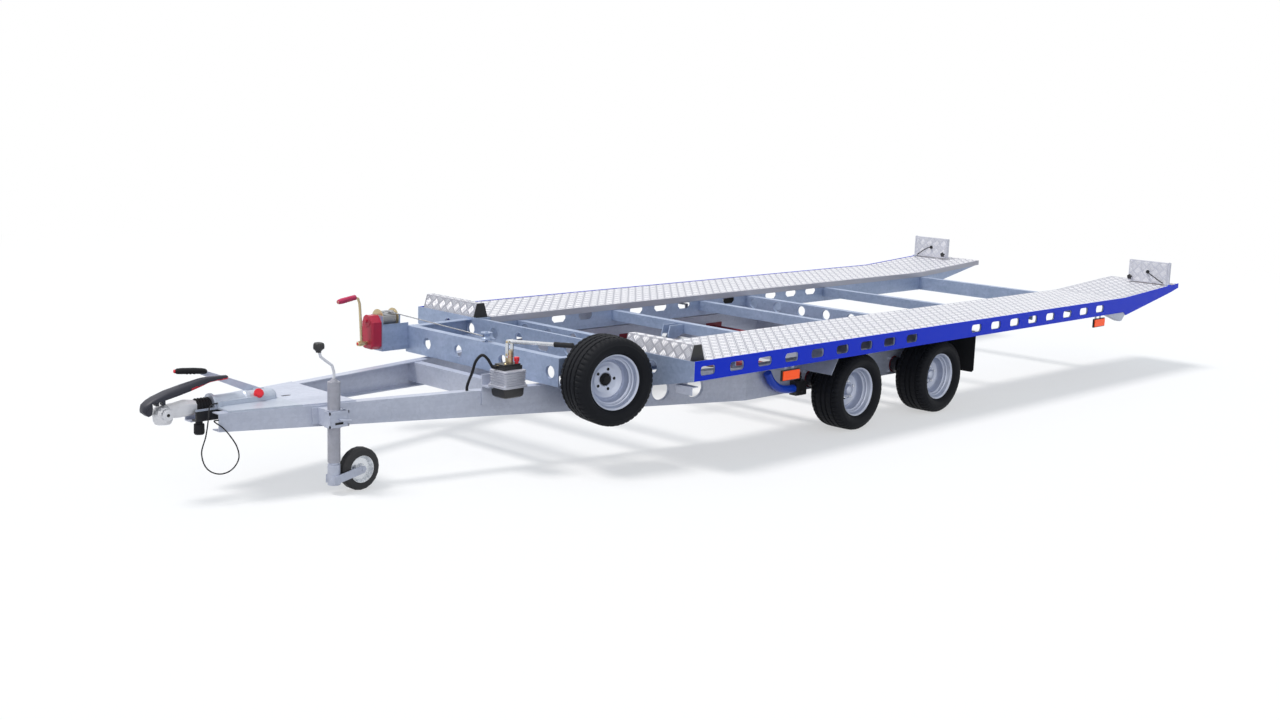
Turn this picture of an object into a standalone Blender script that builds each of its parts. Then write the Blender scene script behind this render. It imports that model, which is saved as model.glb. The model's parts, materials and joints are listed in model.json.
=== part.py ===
"""Tilt-bed car hauler trailer, modelled as separate pieces.

Metres. While the pieces are built, X runs forward from midway between the
axles, Y to the left and Z up from the ground. The root empty then moves the
whole trailer so that the frame's origin is under the middle of its box.
"""
import math

import bmesh
import bpy
from mathutils import Matrix, Vector

# Fits
GAP = 0.0003             # between pieces that touch
CLEAR = 0.006            # between pieces that move past each other
SHEET = 0.003            # aluminium tread plate
WALL = 0.005             # chassis steel
THIN = 0.004             # bed steel

# Main sizes
BED_WIDTH = 2.20
HALF = BED_WIDTH / 2
TYRE_RADIUS = 0.220
BEAM_TOP = TYRE_RADIUS + 0.180
DECK_Z = BEAM_TOP + 0.165    # top of the side rails over the level part

# Bed
BED_FRONT_X = 1.92
KINK_X = -2.44           # the runways bend up behind this
TAIL_X = -3.237
TAIL_SLOPE = 0.060       # rise of the bent tail for each metre
RAIL_DEPTH = 0.099
RAIL_FLANGE = 0.044
LIP = 0.003              # how far a rail stands above the tread plate
RUNWAY_WIDTH = 0.528
RUNWAY_INNER_Y = HALF - RUNWAY_WIDTH
RUNWAY_FOLD = 0.035
INNER_RAIL_FLANGE = 0.045
INNER_RAIL_Z = DECK_Z - 0.135    # underside of the inner rails
TAIL_TIP_DEPTH = 0.032
SLOT_LENGTH = 0.110
SLOT_HEIGHT = 0.050
SLOT_PITCH = 0.216
SLOT_FRONT_X = BED_FRONT_X - 0.105    # centre of the first slot
SLOTS_FRONT = 9
SLOT_REAR_X = -0.585     # centre of the first slot behind the wheels
SLOTS_REAR = 8
INNER_SLOT_X = BED_FRONT_X - 0.635    # centre of the inner rails' first slot
INNER_SLOTS = 12
STOP_X = (BED_FRONT_X - 0.114, BED_FRONT_X - 0.012)
STOP_Y = (RUNWAY_INNER_Y + 0.032, HALF - 0.036)
STOP_HEIGHT = 0.0803

# Crossmembers of the bed: x of the front face, whether it is a deep channel,
# whether that has round holes, and whether outriggers carry on under the runways
CROSSMEMBERS = (
    (1.610, True, True, True),
    (0.850, False, False, True),
    (0.065, False, False, False),
    (-0.400, True, True, False),
    (-1.230, False, False, True),
    (-2.425, True, False, True),
)
CROSSMEMBER_DEPTH = 0.050
OUTRIGGERS_X = (-1.780, -2.880, -3.190)
CROSSMEMBER_Z = DECK_Z - 0.040    # top of the crossmembers
HOLE_RADIUS = 0.0325

# Running gear
AXLE_X = 0.406
TYRE_WIDTH = 0.210
RIM_RADIUS = 0.138
BEAD_RADIUS = 0.127
RIM_WIDTH = 0.156
WHEEL_Y = HALF - 0.203   # middle plane of the road wheels
STUD_CIRCLE = 0.056
ARM_REACH = 0.140
ARM_RISE = 0.055
AXLE_TUBE = 0.045
SPINDLE_RADIUS = 0.020
GUARD_TOP = 2 * TYRE_RADIUS + 0.042
GUARD_X = AXLE_X + TYRE_RADIUS + 0.042
GUARD_Y = (WHEEL_Y - 0.106, WHEEL_Y + 0.139)

# Chassis beams: x, y of the outer face and z of the underside
BEAM_STATIONS = (
    (3.930, 0.150, BEAM_TOP - 0.082),
    (1.100, WHEEL_Y - 0.157, BEAM_TOP - 0.185),
    (-0.860, WHEEL_Y - 0.157, BEAM_TOP - 0.185),
)
BEAM_FLANGE = 0.055
BEAM_HOLE_RADIUS = 0.055
BEAM_HOLES_X = (1.864, 1.650, 1.436)

# Tilt
PIVOT_X = -0.750
PIVOT_Z = BEAM_TOP - 0.015
PIVOT_PIN = 0.015
PIVOT_EAR_Y = RUNWAY_INNER_Y + 0.034
BARREL_EYE_X = 0.200
BARREL_EYE_Z = BEAM_TOP - 0.100
ROD_EYE_X = CROSSMEMBERS[1][0] + 0.110
ROD_EYE_Z = CROSSMEMBER_Z - 0.077
ROD_PIN = 0.010
EYE_PLAY = 0.010         # the opened linkage's play at the rod's eye

# Winch and its frame
WINCH_BEAM_X = BED_FRONT_X + 0.444
WINCH_BEAM_Z = (DECK_Z - 0.152, DECK_Z - 0.009)
WINCH_BEAM_Y = RUNWAY_INNER_Y + 0.045
WINCH_BEAM_HOLES = (-0.697, -0.267, 0.316, 0.900)    # as shares of the beam's half length
SIDE_MEMBER_FOOT_Y = RUNWAY_INNER_Y + 0.083
WINCH_Y = -SIDE_MEMBER_FOOT_Y
DRUM_Z = DECK_Z + 0.035
DRUM_X = (WINCH_BEAM_X + 0.058, WINCH_BEAM_X + 0.160)
CRANK_Z = DECK_Z - 0.090
PULLEY_X = WINCH_BEAM_X - 0.026
PULLEY_Y = 0.035

# Jockey wheel
JOCKEY_X = 3.460
JOCKEY_RADIUS = 0.100
JOCKEY_WIDTH = 0.055
JOCKEY_TRAIL = 0.135
JOCKEY_TUBE = 0.029
JOCKEY_TUBE_Z = (JOCKEY_RADIUS + 0.050, BEAM_TOP + 0.120)

# Coupling
COUPLING_Z = BEAM_TOP + 0.012
BALL_X = 4.115
BALL_RADIUS = 0.025
NOSE_X = 4.214
PLUG_HANGER_Z = BEAM_TOP - 0.048

# Left drawbar beam's load
SPARE_X = BED_FRONT_X + TYRE_RADIUS + 0.050
SPARE_Y = RUNWAY_INNER_Y + 0.204
SPARE_Z = BEAM_TOP + 0.057
PUMP_X = (SPARE_X + TYRE_RADIUS + 0.120, SPARE_X + TYRE_RADIUS + 0.271)
PUMP_WIDTH = 0.135
PUMP_Z = (BEAM_TOP + 0.031, BEAM_TOP + 0.116)

# Lamp plates
LAMP_PIN_X = TAIL_X + 0.137
LAMP_PIN_Y = HALF - 0.016
LAMP_PIN_RADIUS = 0.006
LAMP_PLATE_WIDTH = 0.295
LAMP_PLATE_HEIGHT = 0.160

X_MID = (NOSE_X + TAIL_X) / 2
AXES = {'X': (1, 0, 0), 'Y': (0, 1, 0), 'Z': (0, 0, 1)}

# Materials: colour, roughness, metallic
MATERIALS = {
    'galvanised': ((0.55, 0.60, 0.65), 0.42, 0.9),
    'blue_paint': ((0.03, 0.07, 0.62), 0.30, 0.0),
    'tread_plate': ((0.80, 0.81, 0.83), 0.30, 1.0),
    'rubber': ((0.02, 0.02, 0.022), 0.75, 0.0),
    'tyre': ((0.02, 0.02, 0.022), 0.75, 0.0),
    'rim_silver': ((0.62, 0.64, 0.67), 0.35, 0.8),
    'axle_red': ((0.22, 0.03, 0.03), 0.55, 0.0),
    'winch_red': ((0.50, 0.02, 0.05), 0.35, 0.0),
    'zinc_yellow': ((0.62, 0.55, 0.38), 0.35, 0.9),
    'black_plastic': ((0.02, 0.02, 0.02), 0.45, 0.0),
    'dark_grey': ((0.08, 0.09, 0.11), 0.45, 0.0),
    'cast_grey': ((0.55, 0.56, 0.58), 0.45, 0.8),
    'steel_rope': ((0.35, 0.36, 0.38), 0.40, 0.9),
    'lamp_lens': ((0.55, 0.03, 0.02), 0.20, 0.0),
}


def remove_scene_objects():
    for ob in list(bpy.data.objects):
        bpy.data.objects.remove(ob)


def make_materials():
    made = {}
    for name, (colour, roughness, metallic) in MATERIALS.items():
        material = bpy.data.materials.new(name)
        material.use_nodes = True
        shader = material.node_tree.nodes['Principled BSDF']
        shader.inputs['Base Color'].default_value = (*colour, 1)
        shader.inputs['Roughness'].default_value = roughness
        shader.inputs['Metallic'].default_value = metallic
        made[name] = material
    return made


# Shapes


def loft(loops):
    """A closed solid through loops that have equally many points."""
    bm = bmesh.new()
    rings = [[bm.verts.new(point) for point in loop] for loop in loops]
    for near, far in zip(rings, rings[1:]):
        for i in range(len(near)):
            j = (i + 1) % len(near)
            bm.faces.new((near[i], near[j], far[j], far[i]))
    bm.faces.new(reversed(rings[0]))
    bm.faces.new(rings[-1])
    return bm


def box(low, high):
    x0, y0, z0 = low
    x1, y1, z1 = high
    return loft([[(x, y0, z0), (x, y1, z0), (x, y1, z1), (x, y0, z1)] for x in (x0, x1)])


def prism(outline, axis, start, end):
    """Outline pairs are (y, z) along X, (x, z) along Y and (x, y) along Z."""
    place = {
        'X': lambda a, b, along: (along, a, b),
        'Y': lambda a, b, along: (a, along, b),
        'Z': lambda a, b, along: (a, b, along),
    }[axis]
    return loft([[place(a, b, along) for a, b in outline] for along in (start, end)])


def turned(profile, centre, axis, segments):
    """Turn a closed profile of (along, radius) points about an axis."""
    along_axis = Vector(axis).normalized()
    down = Vector((0, 0, -1)) if abs(along_axis.z) < 0.9 else Vector((1, 0, 0))
    across = (down - down.project(along_axis)).normalized()
    side = along_axis.cross(across)
    bm = bmesh.new()
    rings = []
    for along, radius in profile:
        base = Vector(centre) + along_axis * along
        if radius == 0:
            rings.append([bm.verts.new(base)] * segments)
            continue
        ring = []
        for i in range(segments):
            angle = math.tau * i / segments
            ring.append(bm.verts.new(base + (across * math.cos(angle) + side * math.sin(angle)) * radius))
        rings.append(ring)
    count = len(rings)
    for k in range(count):
        near, far = rings[k], rings[(k + 1) % count]
        for i in range(segments):
            j = (i + 1) % segments
            corners = []
            for vert in (near[i], near[j], far[j], far[i]):
                if vert not in corners:
                    corners.append(vert)
            if len(corners) > 2:
                bm.faces.new(corners)
    bmesh.ops.recalc_face_normals(bm, faces=bm.faces)
    return bm


def cylinder(centre, axis, radius, start, end, segments=20):
    """Axis is a letter or a direction."""
    start, end = min(start, end), max(start, end)
    profile = [(start, 0), (start, radius), (end, radius), (end, 0)]
    return turned(profile, centre, AXES[axis] if isinstance(axis, str) else axis, segments)


def pipe(centre, axis, outer, inner, start, end, segments=20):
    profile = [(start, inner), (start, outer), (end, outer), (end, inner)]
    return turned(profile, centre, AXES[axis], segments)


def smooth_route(points, step):
    """Points about a step apart on a smooth curve through the route's points."""
    route = [Vector(p) for p in points]
    ends = [route[0] * 2 - route[1]] + route + [route[-1] * 2 - route[-2]]
    result = []
    for p0, p1, p2, p3 in zip(ends, ends[1:], ends[2:], ends[3:]):
        count = max(1, round((p2 - p1).length / step))
        for i in range(count):
            t = i / count
            result.append(0.5 * (2 * p1 + (p2 - p0) * t + (2 * p0 - 5 * p1 + 4 * p2 - p3) * t ** 2
                                 + (3 * p1 - p0 - 3 * p2 + p3) * t ** 3))
    result.append(route[-1])
    return result


def bar(points, radii, sides=12):
    """A round bar along points, with one radius or a radius for each point."""
    points = [Vector(p) for p in points]
    if isinstance(radii, float):
        radii = [radii] * len(points)
    loops = []
    normal = None
    for i, point in enumerate(points):
        before = points[max(i - 1, 0)]
        after = points[min(i + 1, len(points) - 1)]
        tangent = (after - before).normalized()
        if normal is None:
            helper = Vector((0, 0, 1)) if abs(tangent.z) < 0.9 else Vector((1, 0, 0))
            normal = tangent.cross(helper).normalized()
        normal = (normal - normal.project(tangent)).normalized()
        other = tangent.cross(normal)
        loops.append([point + (normal * math.cos(math.tau * k / sides)
                               + other * math.sin(math.tau * k / sides)) * radii[i] for k in range(sides)])
    return loft(loops)


def round_rectangle(centre_a, centre_b, length, height, radius, steps=3):
    outline = []
    for quarter, (sa, sb) in enumerate(((1, 1), (-1, 1), (-1, -1), (1, -1))):
        corner_a = centre_a + sa * (length / 2 - radius)
        corner_b = centre_b + sb * (height / 2 - radius)
        for i in range(steps + 1):
            angle = math.pi / 2 * (quarter + i / steps)
            outline.append((corner_a + radius * math.cos(angle), corner_b + radius * math.sin(angle)))
    return outline


def channel(corner, web, flange, top, bottom, wall):
    """Loop of a C-section: corner maps (across, z) to a point, across runs from the web's face."""
    return [corner(a, z) for a, z in (
        (0, bottom), (0, top), (flange, top), (flange, top - wall),
        (web, top - wall), (web, bottom + wall), (flange, bottom + wall), (flange, bottom))]


def together(parts):
    """One mesh that holds several shapes."""
    whole = bmesh.new()
    for part in parts:
        bmesh.ops.recalc_face_normals(part, faces=part.faces)
        mesh = bpy.data.meshes.new('scratch')
        part.to_mesh(mesh)
        part.free()
        whole.from_mesh(mesh)
        bpy.data.meshes.remove(mesh)
    return whole


def boolean(base, tool, operation):
    scratch = []
    for shape in (base, tool):
        bmesh.ops.recalc_face_normals(shape, faces=shape.faces)
        mesh = bpy.data.meshes.new('scratch')
        shape.to_mesh(mesh)
        shape.free()
        ob = bpy.data.objects.new('scratch', mesh)
        bpy.context.scene.collection.objects.link(ob)
        scratch.append(ob)
    modifier = scratch[0].modifiers.new('shape', 'BOOLEAN')
    modifier.operation = operation
    modifier.solver = 'EXACT'
    modifier.use_self = operation == 'UNION'
    modifier.object = scratch[1]
    evaluated = scratch[0].evaluated_get(bpy.context.evaluated_depsgraph_get())
    mesh = bpy.data.meshes.new_from_object(evaluated)
    result = bmesh.new()
    result.from_mesh(mesh)
    bpy.data.meshes.remove(mesh)
    for ob in scratch:
        mesh = ob.data
        bpy.data.objects.remove(ob)
        bpy.data.meshes.remove(mesh)
    bmesh.ops.dissolve_limit(result, angle_limit=0.001, verts=result.verts, edges=result.edges)
    return result


def fused(*parts):
    return boolean(parts[0], together(parts[1:]), 'UNION')


def cut(base, *tools):
    return boolean(base, together(tools), 'DIFFERENCE')


def mirrored(shape):
    bmesh.ops.transform(shape, matrix=Matrix.Scale(-1, 4, Vector((0, 1, 0))), verts=shape.verts)
    bmesh.ops.reverse_faces(shape, faces=shape.faces)
    return shape


class Trailer:
    """Places the pieces under the joints' empties."""

    def __init__(self):
        self.materials = make_materials()
        self.origins = {}
        self.empties = {}

    def joint(self, name, origin, parent=None):
        empty = bpy.data.objects.new(name, None)
        bpy.context.scene.collection.objects.link(empty)
        empty.location = origin
        if parent:
            empty.parent = self.empties[parent]
            empty.location = Vector(origin) - self.origins[parent]
        self.origins[name] = Vector(origin) if parent else Vector((0, 0, 0))
        self.empties[name] = empty

    def piece(self, name, shape, material, parent='trailer', round_form=False):
        origin = self.origins[parent]
        bmesh.ops.recalc_face_normals(shape, faces=shape.faces)
        bmesh.ops.translate(shape, verts=shape.verts, vec=-origin)
        mesh = bpy.data.meshes.new(name)
        shape.to_mesh(mesh)
        shape.free()
        mesh.materials.append(self.materials[material])
        if round_form:
            mesh.shade_smooth()
            mesh.set_sharp_from_angle(angle=math.radians(35))
        ob = bpy.data.objects.new(name, mesh)
        bpy.context.scene.collection.objects.link(ob)
        ob.parent = self.empties[parent]
        return ob

    def cord(self, name, route, radius, material, parent='trailer', step=None):
        """A plain round tube along a smooth route."""
        origin = self.origins[parent]
        curve = bpy.data.curves.new(name, 'CURVE')
        curve.dimensions = '3D'
        curve.bevel_depth = radius
        curve.bevel_resolution = 2
        curve.use_fill_caps = True
        points = smooth_route(route, step or max(6 * radius, 0.012))
        spline = curve.splines.new('POLY')
        spline.points.add(len(points) - 1)
        for target, point in zip(spline.points, points):
            target.co = (*(point - origin), 1)
        curve.materials.append(self.materials[material])
        ob = bpy.data.objects.new(name, curve)
        bpy.context.scene.collection.objects.link(ob)
        ob.parent = self.empties[parent]
        return ob


# Heights and places that several pieces share


def deck_top(x):
    return DECK_Z + max(0.0, KINK_X - x) * TAIL_SLOPE


def tapered_bottom(x, level):
    """Underside of a rail: level, then rising evenly to the thin tip."""
    if x >= KINK_X:
        return level
    tip = deck_top(TAIL_X) - TAIL_TIP_DEPTH
    share = (KINK_X - x) / (KINK_X - TAIL_X)
    return level + (tip - level) * share


def beam_outer(x):
    """Distance of a chassis beam's outer face from the middle."""
    (x0, y0, _), (x1, y1, _) = BEAM_STATIONS[:2]
    return y1 if x <= x1 else y0 + (y1 - y0) * (x0 - x) / (x0 - x1)


def beam_bottom(x):
    (x0, _, z0), (x1, _, z1) = BEAM_STATIONS[:2]
    return z1 if x <= x1 else z0 + (z1 - z0) * (x0 - x) / (x0 - x1)


BEAM_ANGLE = math.atan2(BEAM_STATIONS[1][1] - BEAM_STATIONS[0][1], BEAM_STATIONS[0][0] - BEAM_STATIONS[1][0])


# Chassis


def chassis_beam():
    loops = []
    for x, y, bottom in BEAM_STATIONS:
        loops.append(channel(lambda a, z, x=x, y=y: (x, y - a, z), WALL, BEAM_FLANGE, BEAM_TOP, bottom, WALL))
    beam = loft(loops)
    holes = []
    for x in BEAM_HOLES_X:
        middle = (BEAM_TOP + beam_bottom(x)) / 2
        radius = min(BEAM_HOLE_RADIUS, (BEAM_TOP - beam_bottom(x)) / 2 - 4 * WALL)
        holes.append(cylinder((x, beam_outer(x), middle), 'Y', radius, -0.05, 0.02, 24))
    for side in (1, -1):
        holes.append(cylinder((side * AXLE_X + ARM_REACH, beam_outer(0), TYRE_RADIUS + ARM_RISE), 'Y',
                              AXLE_TUBE + CLEAR, -0.05, 0.02, 24))
    return cut(beam, *holes)


def across_beams(outline, wall_gap=GAP):
    """A bar across the chassis whose ends follow the beams' webs; outline is (x, z)."""
    ends = []
    for side in (-1, 1):
        ends.append([(x, side * (beam_outer(x) - WALL - wall_gap), z) for x, z in outline])
    return loft(ends)


def c_outline(x, depth_x, bottom, top, wall, opens=-1):
    """(x, z) outline of a channel with its web at x and its flanges depth_x long."""
    far, near = x + opens * depth_x, x + opens * wall
    return [(x, bottom), (x, top), (far, top), (far, top - wall), (near, top - wall),
            (near, bottom + wall), (far, bottom + wall), (far, bottom)]


def front_chassis_crossmember():
    return across_beams(c_outline(2.470, 0.055, BEAM_TOP - 0.110, BEAM_TOP - WALL - GAP, WALL))


def middle_chassis_crossmember():
    """Carries the ears of the tilt cylinder."""
    front = BARREL_EYE_X - 0.045
    tube = across_beams(c_outline(front, 0.060, BEAM_TOP - 0.150, BEAM_TOP - 0.050, WALL))
    ears = []
    for side in (-1, 1):
        outline = [(front - WALL / 2, BARREL_EYE_Z - 0.038), (BARREL_EYE_X + 0.012, BARREL_EYE_Z - 0.024),
                   (BARREL_EYE_X + 0.024, BARREL_EYE_Z), (BARREL_EYE_X + 0.012, BARREL_EYE_Z + 0.024),
                   (front - WALL / 2, BARREL_EYE_Z + 0.038)]
        ears.append(prism(outline, 'Y', side * 0.022, side * 0.030))
    pin = cylinder((BARREL_EYE_X, 0, BARREL_EYE_Z), 'Y', ROD_PIN, -0.034, 0.034, 16)
    return fused(tube, *ears, pin)


def rear_chassis_crossmember():
    """Carries the two tilt pins in its standing ears."""
    front = PIVOT_X + 0.035
    bar_shape = across_beams(c_outline(front, 0.070, BEAM_TOP - 0.150, BEAM_TOP - 0.065, WALL))
    parts = []
    for side in (-1, 1):
        inner, outer = side * PIVOT_EAR_Y, side * (PIVOT_EAR_Y + 0.012)
        outline = [(PIVOT_X - 0.034, PIVOT_Z - 0.085), (PIVOT_X + 0.034, PIVOT_Z - 0.085), (PIVOT_X + 0.026, PIVOT_Z),
                   (PIVOT_X + 0.014, PIVOT_Z + 0.024), (PIVOT_X - 0.014, PIVOT_Z + 0.024), (PIVOT_X - 0.026, PIVOT_Z)]
        parts.append(prism(outline, 'Y', inner, outer))
        parts.append(cylinder((PIVOT_X, 0, PIVOT_Z), 'Y', PIVOT_PIN, side * (PIVOT_EAR_Y - 0.046), side * (PIVOT_EAR_Y + 0.016), 24))
    return fused(bar_shape, *parts)


def swing_arm(x, side):
    """Arm from the axle tube down to the wheel's spindle, with the backplate."""
    tube_x, tube_z = x + ARM_REACH, TYRE_RADIUS + ARM_RISE
    low, high = WHEEL_Y - 0.149, WHEEL_Y - 0.117
    outline = []
    slope = math.atan2(ARM_RISE, ARM_REACH)
    for centre_x, centre_z, radius, first in ((tube_x, tube_z, 0.046, slope - math.pi / 2),
                                              (x, TYRE_RADIUS, 0.036, slope + math.pi / 2)):
        for i in range(7):
            angle = first + math.pi * i / 6
            outline.append((centre_x + radius * math.cos(angle), centre_z + radius * math.sin(angle)))
    arm = prism(outline, 'Y', side * low, side * high)
    plate = cylinder((x, 0, TYRE_RADIUS), 'Y', 0.096, side * (WHEEL_Y - 0.121), side * (WHEEL_Y - 0.111), 24)
    spindle = cylinder((x, 0, TYRE_RADIUS), 'Y', SPINDLE_RADIUS, side * (WHEEL_Y - 0.137), side * (WHEEL_Y + 0.003), 16)
    inner = beam_outer(0) - WALL - GAP
    flange = box((tube_x - 0.075, min(side * (inner - 0.006), side * inner), tube_z - 0.050),
                 (tube_x + 0.075, max(side * (inner - 0.006), side * inner), tube_z + 0.060))
    return [arm, plate, spindle, flange]


def torsion_axle(x):
    tube_x, tube_z = x + ARM_REACH, TYRE_RADIUS + ARM_RISE
    tube = cylinder((tube_x, 0, tube_z), 'Y', AXLE_TUBE, 0.137 - WHEEL_Y, WHEEL_Y - 0.137, 6)
    return fused(tube, *swing_arm(x, 1), *swing_arm(x, -1))


def tyre(centre, axis):
    """Hollow tyre: outer half profile from the bead to the crown, then the inside back."""
    bead, half = BEAD_RADIUS + 0.0012, TYRE_WIDTH / 2
    outer = [(0.0675, bead), (half, TYRE_RADIUS - 0.052), (half - 0.006, TYRE_RADIUS - 0.017), (half - 0.030, TYRE_RADIUS)]
    inner = [(0.050, bead), (half - 0.022, TYRE_RADIUS - 0.046), (0.055, TYRE_RADIUS - 0.016)]
    profile = outer + [(-a, r) for a, r in reversed(outer)] + [(-a, r) for a, r in inner] + list(reversed(inner))
    return turned(profile, centre, axis, 28)


def rim(centre, axis, spare=False):
    """Deep-dish rim; a road wheel's carries the hub and drum, with a blind bore for the spindle."""
    lip, seat, half = RIM_RADIUS, BEAD_RADIUS - 0.0005, RIM_WIDTH / 2
    bore = SPINDLE_RADIUS + GAP + 0.0004
    barrel = [(half, lip), (half - 0.010, seat), (0.036, 0.110), (-0.036, 0.110), (-half + 0.010, seat), (-half, lip),
              (-half, 0.128), (-0.038, 0.103)]
    if spare:
        hub = [(-0.022, 0.068), (-0.022, 0.033), (-0.014, 0.033), (-0.014, 0.062)]
    else:
        hub = [(-0.034, 0.094), (-0.100, 0.094), (-0.100, bore), (0.006, bore), (0.006, 0),
               (0.026, 0), (0.020, 0.024), (-0.012, 0.032), (-0.014, 0.062)]
    dish = [(0.000, 0.088), (-0.010, 0.103), (0.036, 0.106), (half, 0.128)]
    return turned(barrel + hub + dish, centre, axis, 20)


def build_wheels(trailer):
    for row, x in (('front', AXLE_X), ('rear', -AXLE_X)):
        for label, side in (('left', 1), ('right', -1)):
            centre = (x, side * WHEEL_Y, TYRE_RADIUS)
            joint = f'wheel_pivot_{row}_{label}'
            trailer.joint(joint, centre, 'trailer')
            axis = Vector((0, side, 0))
            trailer.piece(f'tyre_{row}_{label}', tyre(centre, axis), 'tyre', joint, True)
            trailer.piece(f'rim_{row}_{label}', rim(centre, axis), 'rim_silver', joint, True)


def mudguard():
    """Sheet over both left wheels, sloping down ahead of them, on brackets from the beam."""
    inner, outer = GUARD_Y
    top = GUARD_TOP
    front_x, rear_x = GUARD_X, -GUARD_X
    path = [(front_x + 0.072, top - 0.120), (front_x, top), (rear_x, top), (rear_x - 0.020, top - 0.030)]
    under = [(front_x + 0.0695, top - 0.1215), (front_x - 0.002, top - SHEET), (rear_x + 0.002, top - SHEET),
             (rear_x - 0.0175, top - 0.0315)]
    sheet = prism(path + list(reversed(under)), 'Y', inner, outer)
    web = beam_outer(0) + GAP
    brackets = []
    for x in (front_x - 0.013, 0.0, rear_x + 0.018):
        outline = [(web, BEAM_TOP - 0.100), (web + 0.006, BEAM_TOP - 0.100), (web + 0.006, top - SHEET - 0.006), (inner + 0.040, top - SHEET - 0.006),
                   (inner + 0.040, top - SHEET / 2), (web, top - SHEET / 2)]
        brackets.append(prism(outline, 'X', x - 0.012, x + 0.012))
    return fused(sheet, *brackets)


def mudflap():
    """Flat rubber flap behind the left rear wheel."""
    x = -GUARD_X - 0.0205 - GAP
    inner, outer = GUARD_Y[0] + 0.021, GUARD_Y[1] - 0.006
    top, low = GUARD_TOP - 0.030, TYRE_RADIUS + 0.002
    outline = [(inner, top), (outer, top), (outer, low + 0.013), (outer - 0.012, low), (inner + 0.012, low), (inner, low + 0.013)]
    return prism(outline, 'X', x - 0.005, x)


# Nose of the drawbar


def nose_plate():
    """Plate that ties the beams together, with a slot."""
    x0, x1 = 3.300, 3.552
    low, high = BEAM_TOP + GAP, BEAM_TOP + GAP + 0.006
    outline = [(x0, -beam_outer(x0) + 0.010), (x1, -beam_outer(x1) + 0.010),
               (x1, beam_outer(x1) - 0.010), (x0, beam_outer(x0) - 0.010)]
    plate = prism(outline, 'Z', low, high)
    slot = prism(round_rectangle(3.500, 0, 0.050, 0.018, 0.008), 'Z', low - 0.01, high + 0.01)
    return cut(plate, slot)


def overrun_housing():
    """Round housing of the overrun shaft on a wide foot over both beams."""
    x0, x1 = 3.556, 3.886
    low = BEAM_TOP + GAP
    foot = prism([(x0, -beam_outer(x0) + 0.006), (x1, -beam_outer(x1) + 0.006),
                  (x1, beam_outer(x1) - 0.006), (x0, beam_outer(x0) - 0.006)], 'Z', low, low + 0.008)
    body = turned([(3.570, 0), (3.570, 0.034), (3.580, 0.040), (3.700, 0.040), (3.706, 0.044), (3.724, 0.044),
                   (3.730, 0.040), (3.880, 0.040), (3.880, 0.050), (3.892, 0.050), (3.892, 0)],
                  (0, 0, COUPLING_Z), (1, 0, 0), 20)
    ribs = []
    for side in (-1, 1):
        ribs.append(prism([(3.600, low + 0.004), (3.860, low + 0.004), (3.860, low + 0.030), (3.640, low + 0.030)], 'Y',
                          side * 0.034, side * 0.050))
    brake_ear = box((3.585, -0.060, low + 0.004), (3.640, -0.048, BEAM_TOP + 0.046))
    arm = box((3.866, 0.042, PLUG_HANGER_Z), (3.983, 0.050, low + 0.006))
    ledge = box((3.935, 0.010, PLUG_HANGER_Z), (3.983, 0.044, PLUG_HANGER_Z + 0.006))
    cable_clip = box((3.868, 0.053, low + 0.004), (3.884, 0.066, BEAM_TOP + 0.032))
    return fused(foot, body, *ribs, brake_ear, arm, ledge, cable_clip)


def bellows():
    start = 3.892 + GAP
    profile = [(start, 0.0235)]
    ribs = 5
    pitch = 0.0145
    for i in range(ribs):
        profile += [(start + i * pitch, 0.028), (start + (i + 0.5) * pitch, 0.036)]
    end = start + ribs * pitch
    profile += [(end, 0.028), (end, 0.0235)]
    return turned(profile, (0, 0, COUPLING_Z), (1, 0, 0), 18)


def coupling_head():
    """Draw tube, neck and ball housing with its socket open below."""
    tube = cylinder((0, 0, COUPLING_Z), 'X', 0.0225, 3.892 + GAP, 4.030, 20)
    neck_loops = []
    for x, half, below, above in ((3.966, 0.028, 0.030, 0.028), (4.010, 0.030, 0.034, 0.034),
                                  (4.060, 0.028, 0.036, 0.026), (4.100, 0.030, 0.032, 0.022)):
        low, high = COUPLING_Z - below, COUPLING_Z + above
        neck_loops.append([(x, y, z) for y, z in (
            (-half, low + 0.008), (-half, high - 0.014), (-half + 0.012, high), (half - 0.012, high),
            (half, high - 0.014), (half, low + 0.008), (half - 0.008, low), (-half + 0.008, low))])
    cup = turned([(-0.046, 0), (-0.046, 0.034), (-0.030, 0.042), (0.000, 0.044), (0.018, 0.040), (0.030, 0.028),
                  (0.036, 0)], (BALL_X, 0, COUPLING_Z - 0.012), (0, 0, 1), 20)
    pads = []
    for side in (-1, 1):
        pads.append(cylinder((BALL_X, 0, COUPLING_Z - 0.013), 'Y', 0.026, 0, side * 0.050, 20))
    body = fused(tube, loft(neck_loops), cup, *pads)
    ball = turned([(-0.060, 0), (-0.060, BALL_RADIUS), (0.000, BALL_RADIUS), (0.010, 0.0229), (0.018, 0.0173),
                   (0.0235, 0.0085), (0.025, 0)], (BALL_X, 0, COUPLING_Z - 0.017), (0, 0, 1), 16)
    return cut(body, ball)


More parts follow.
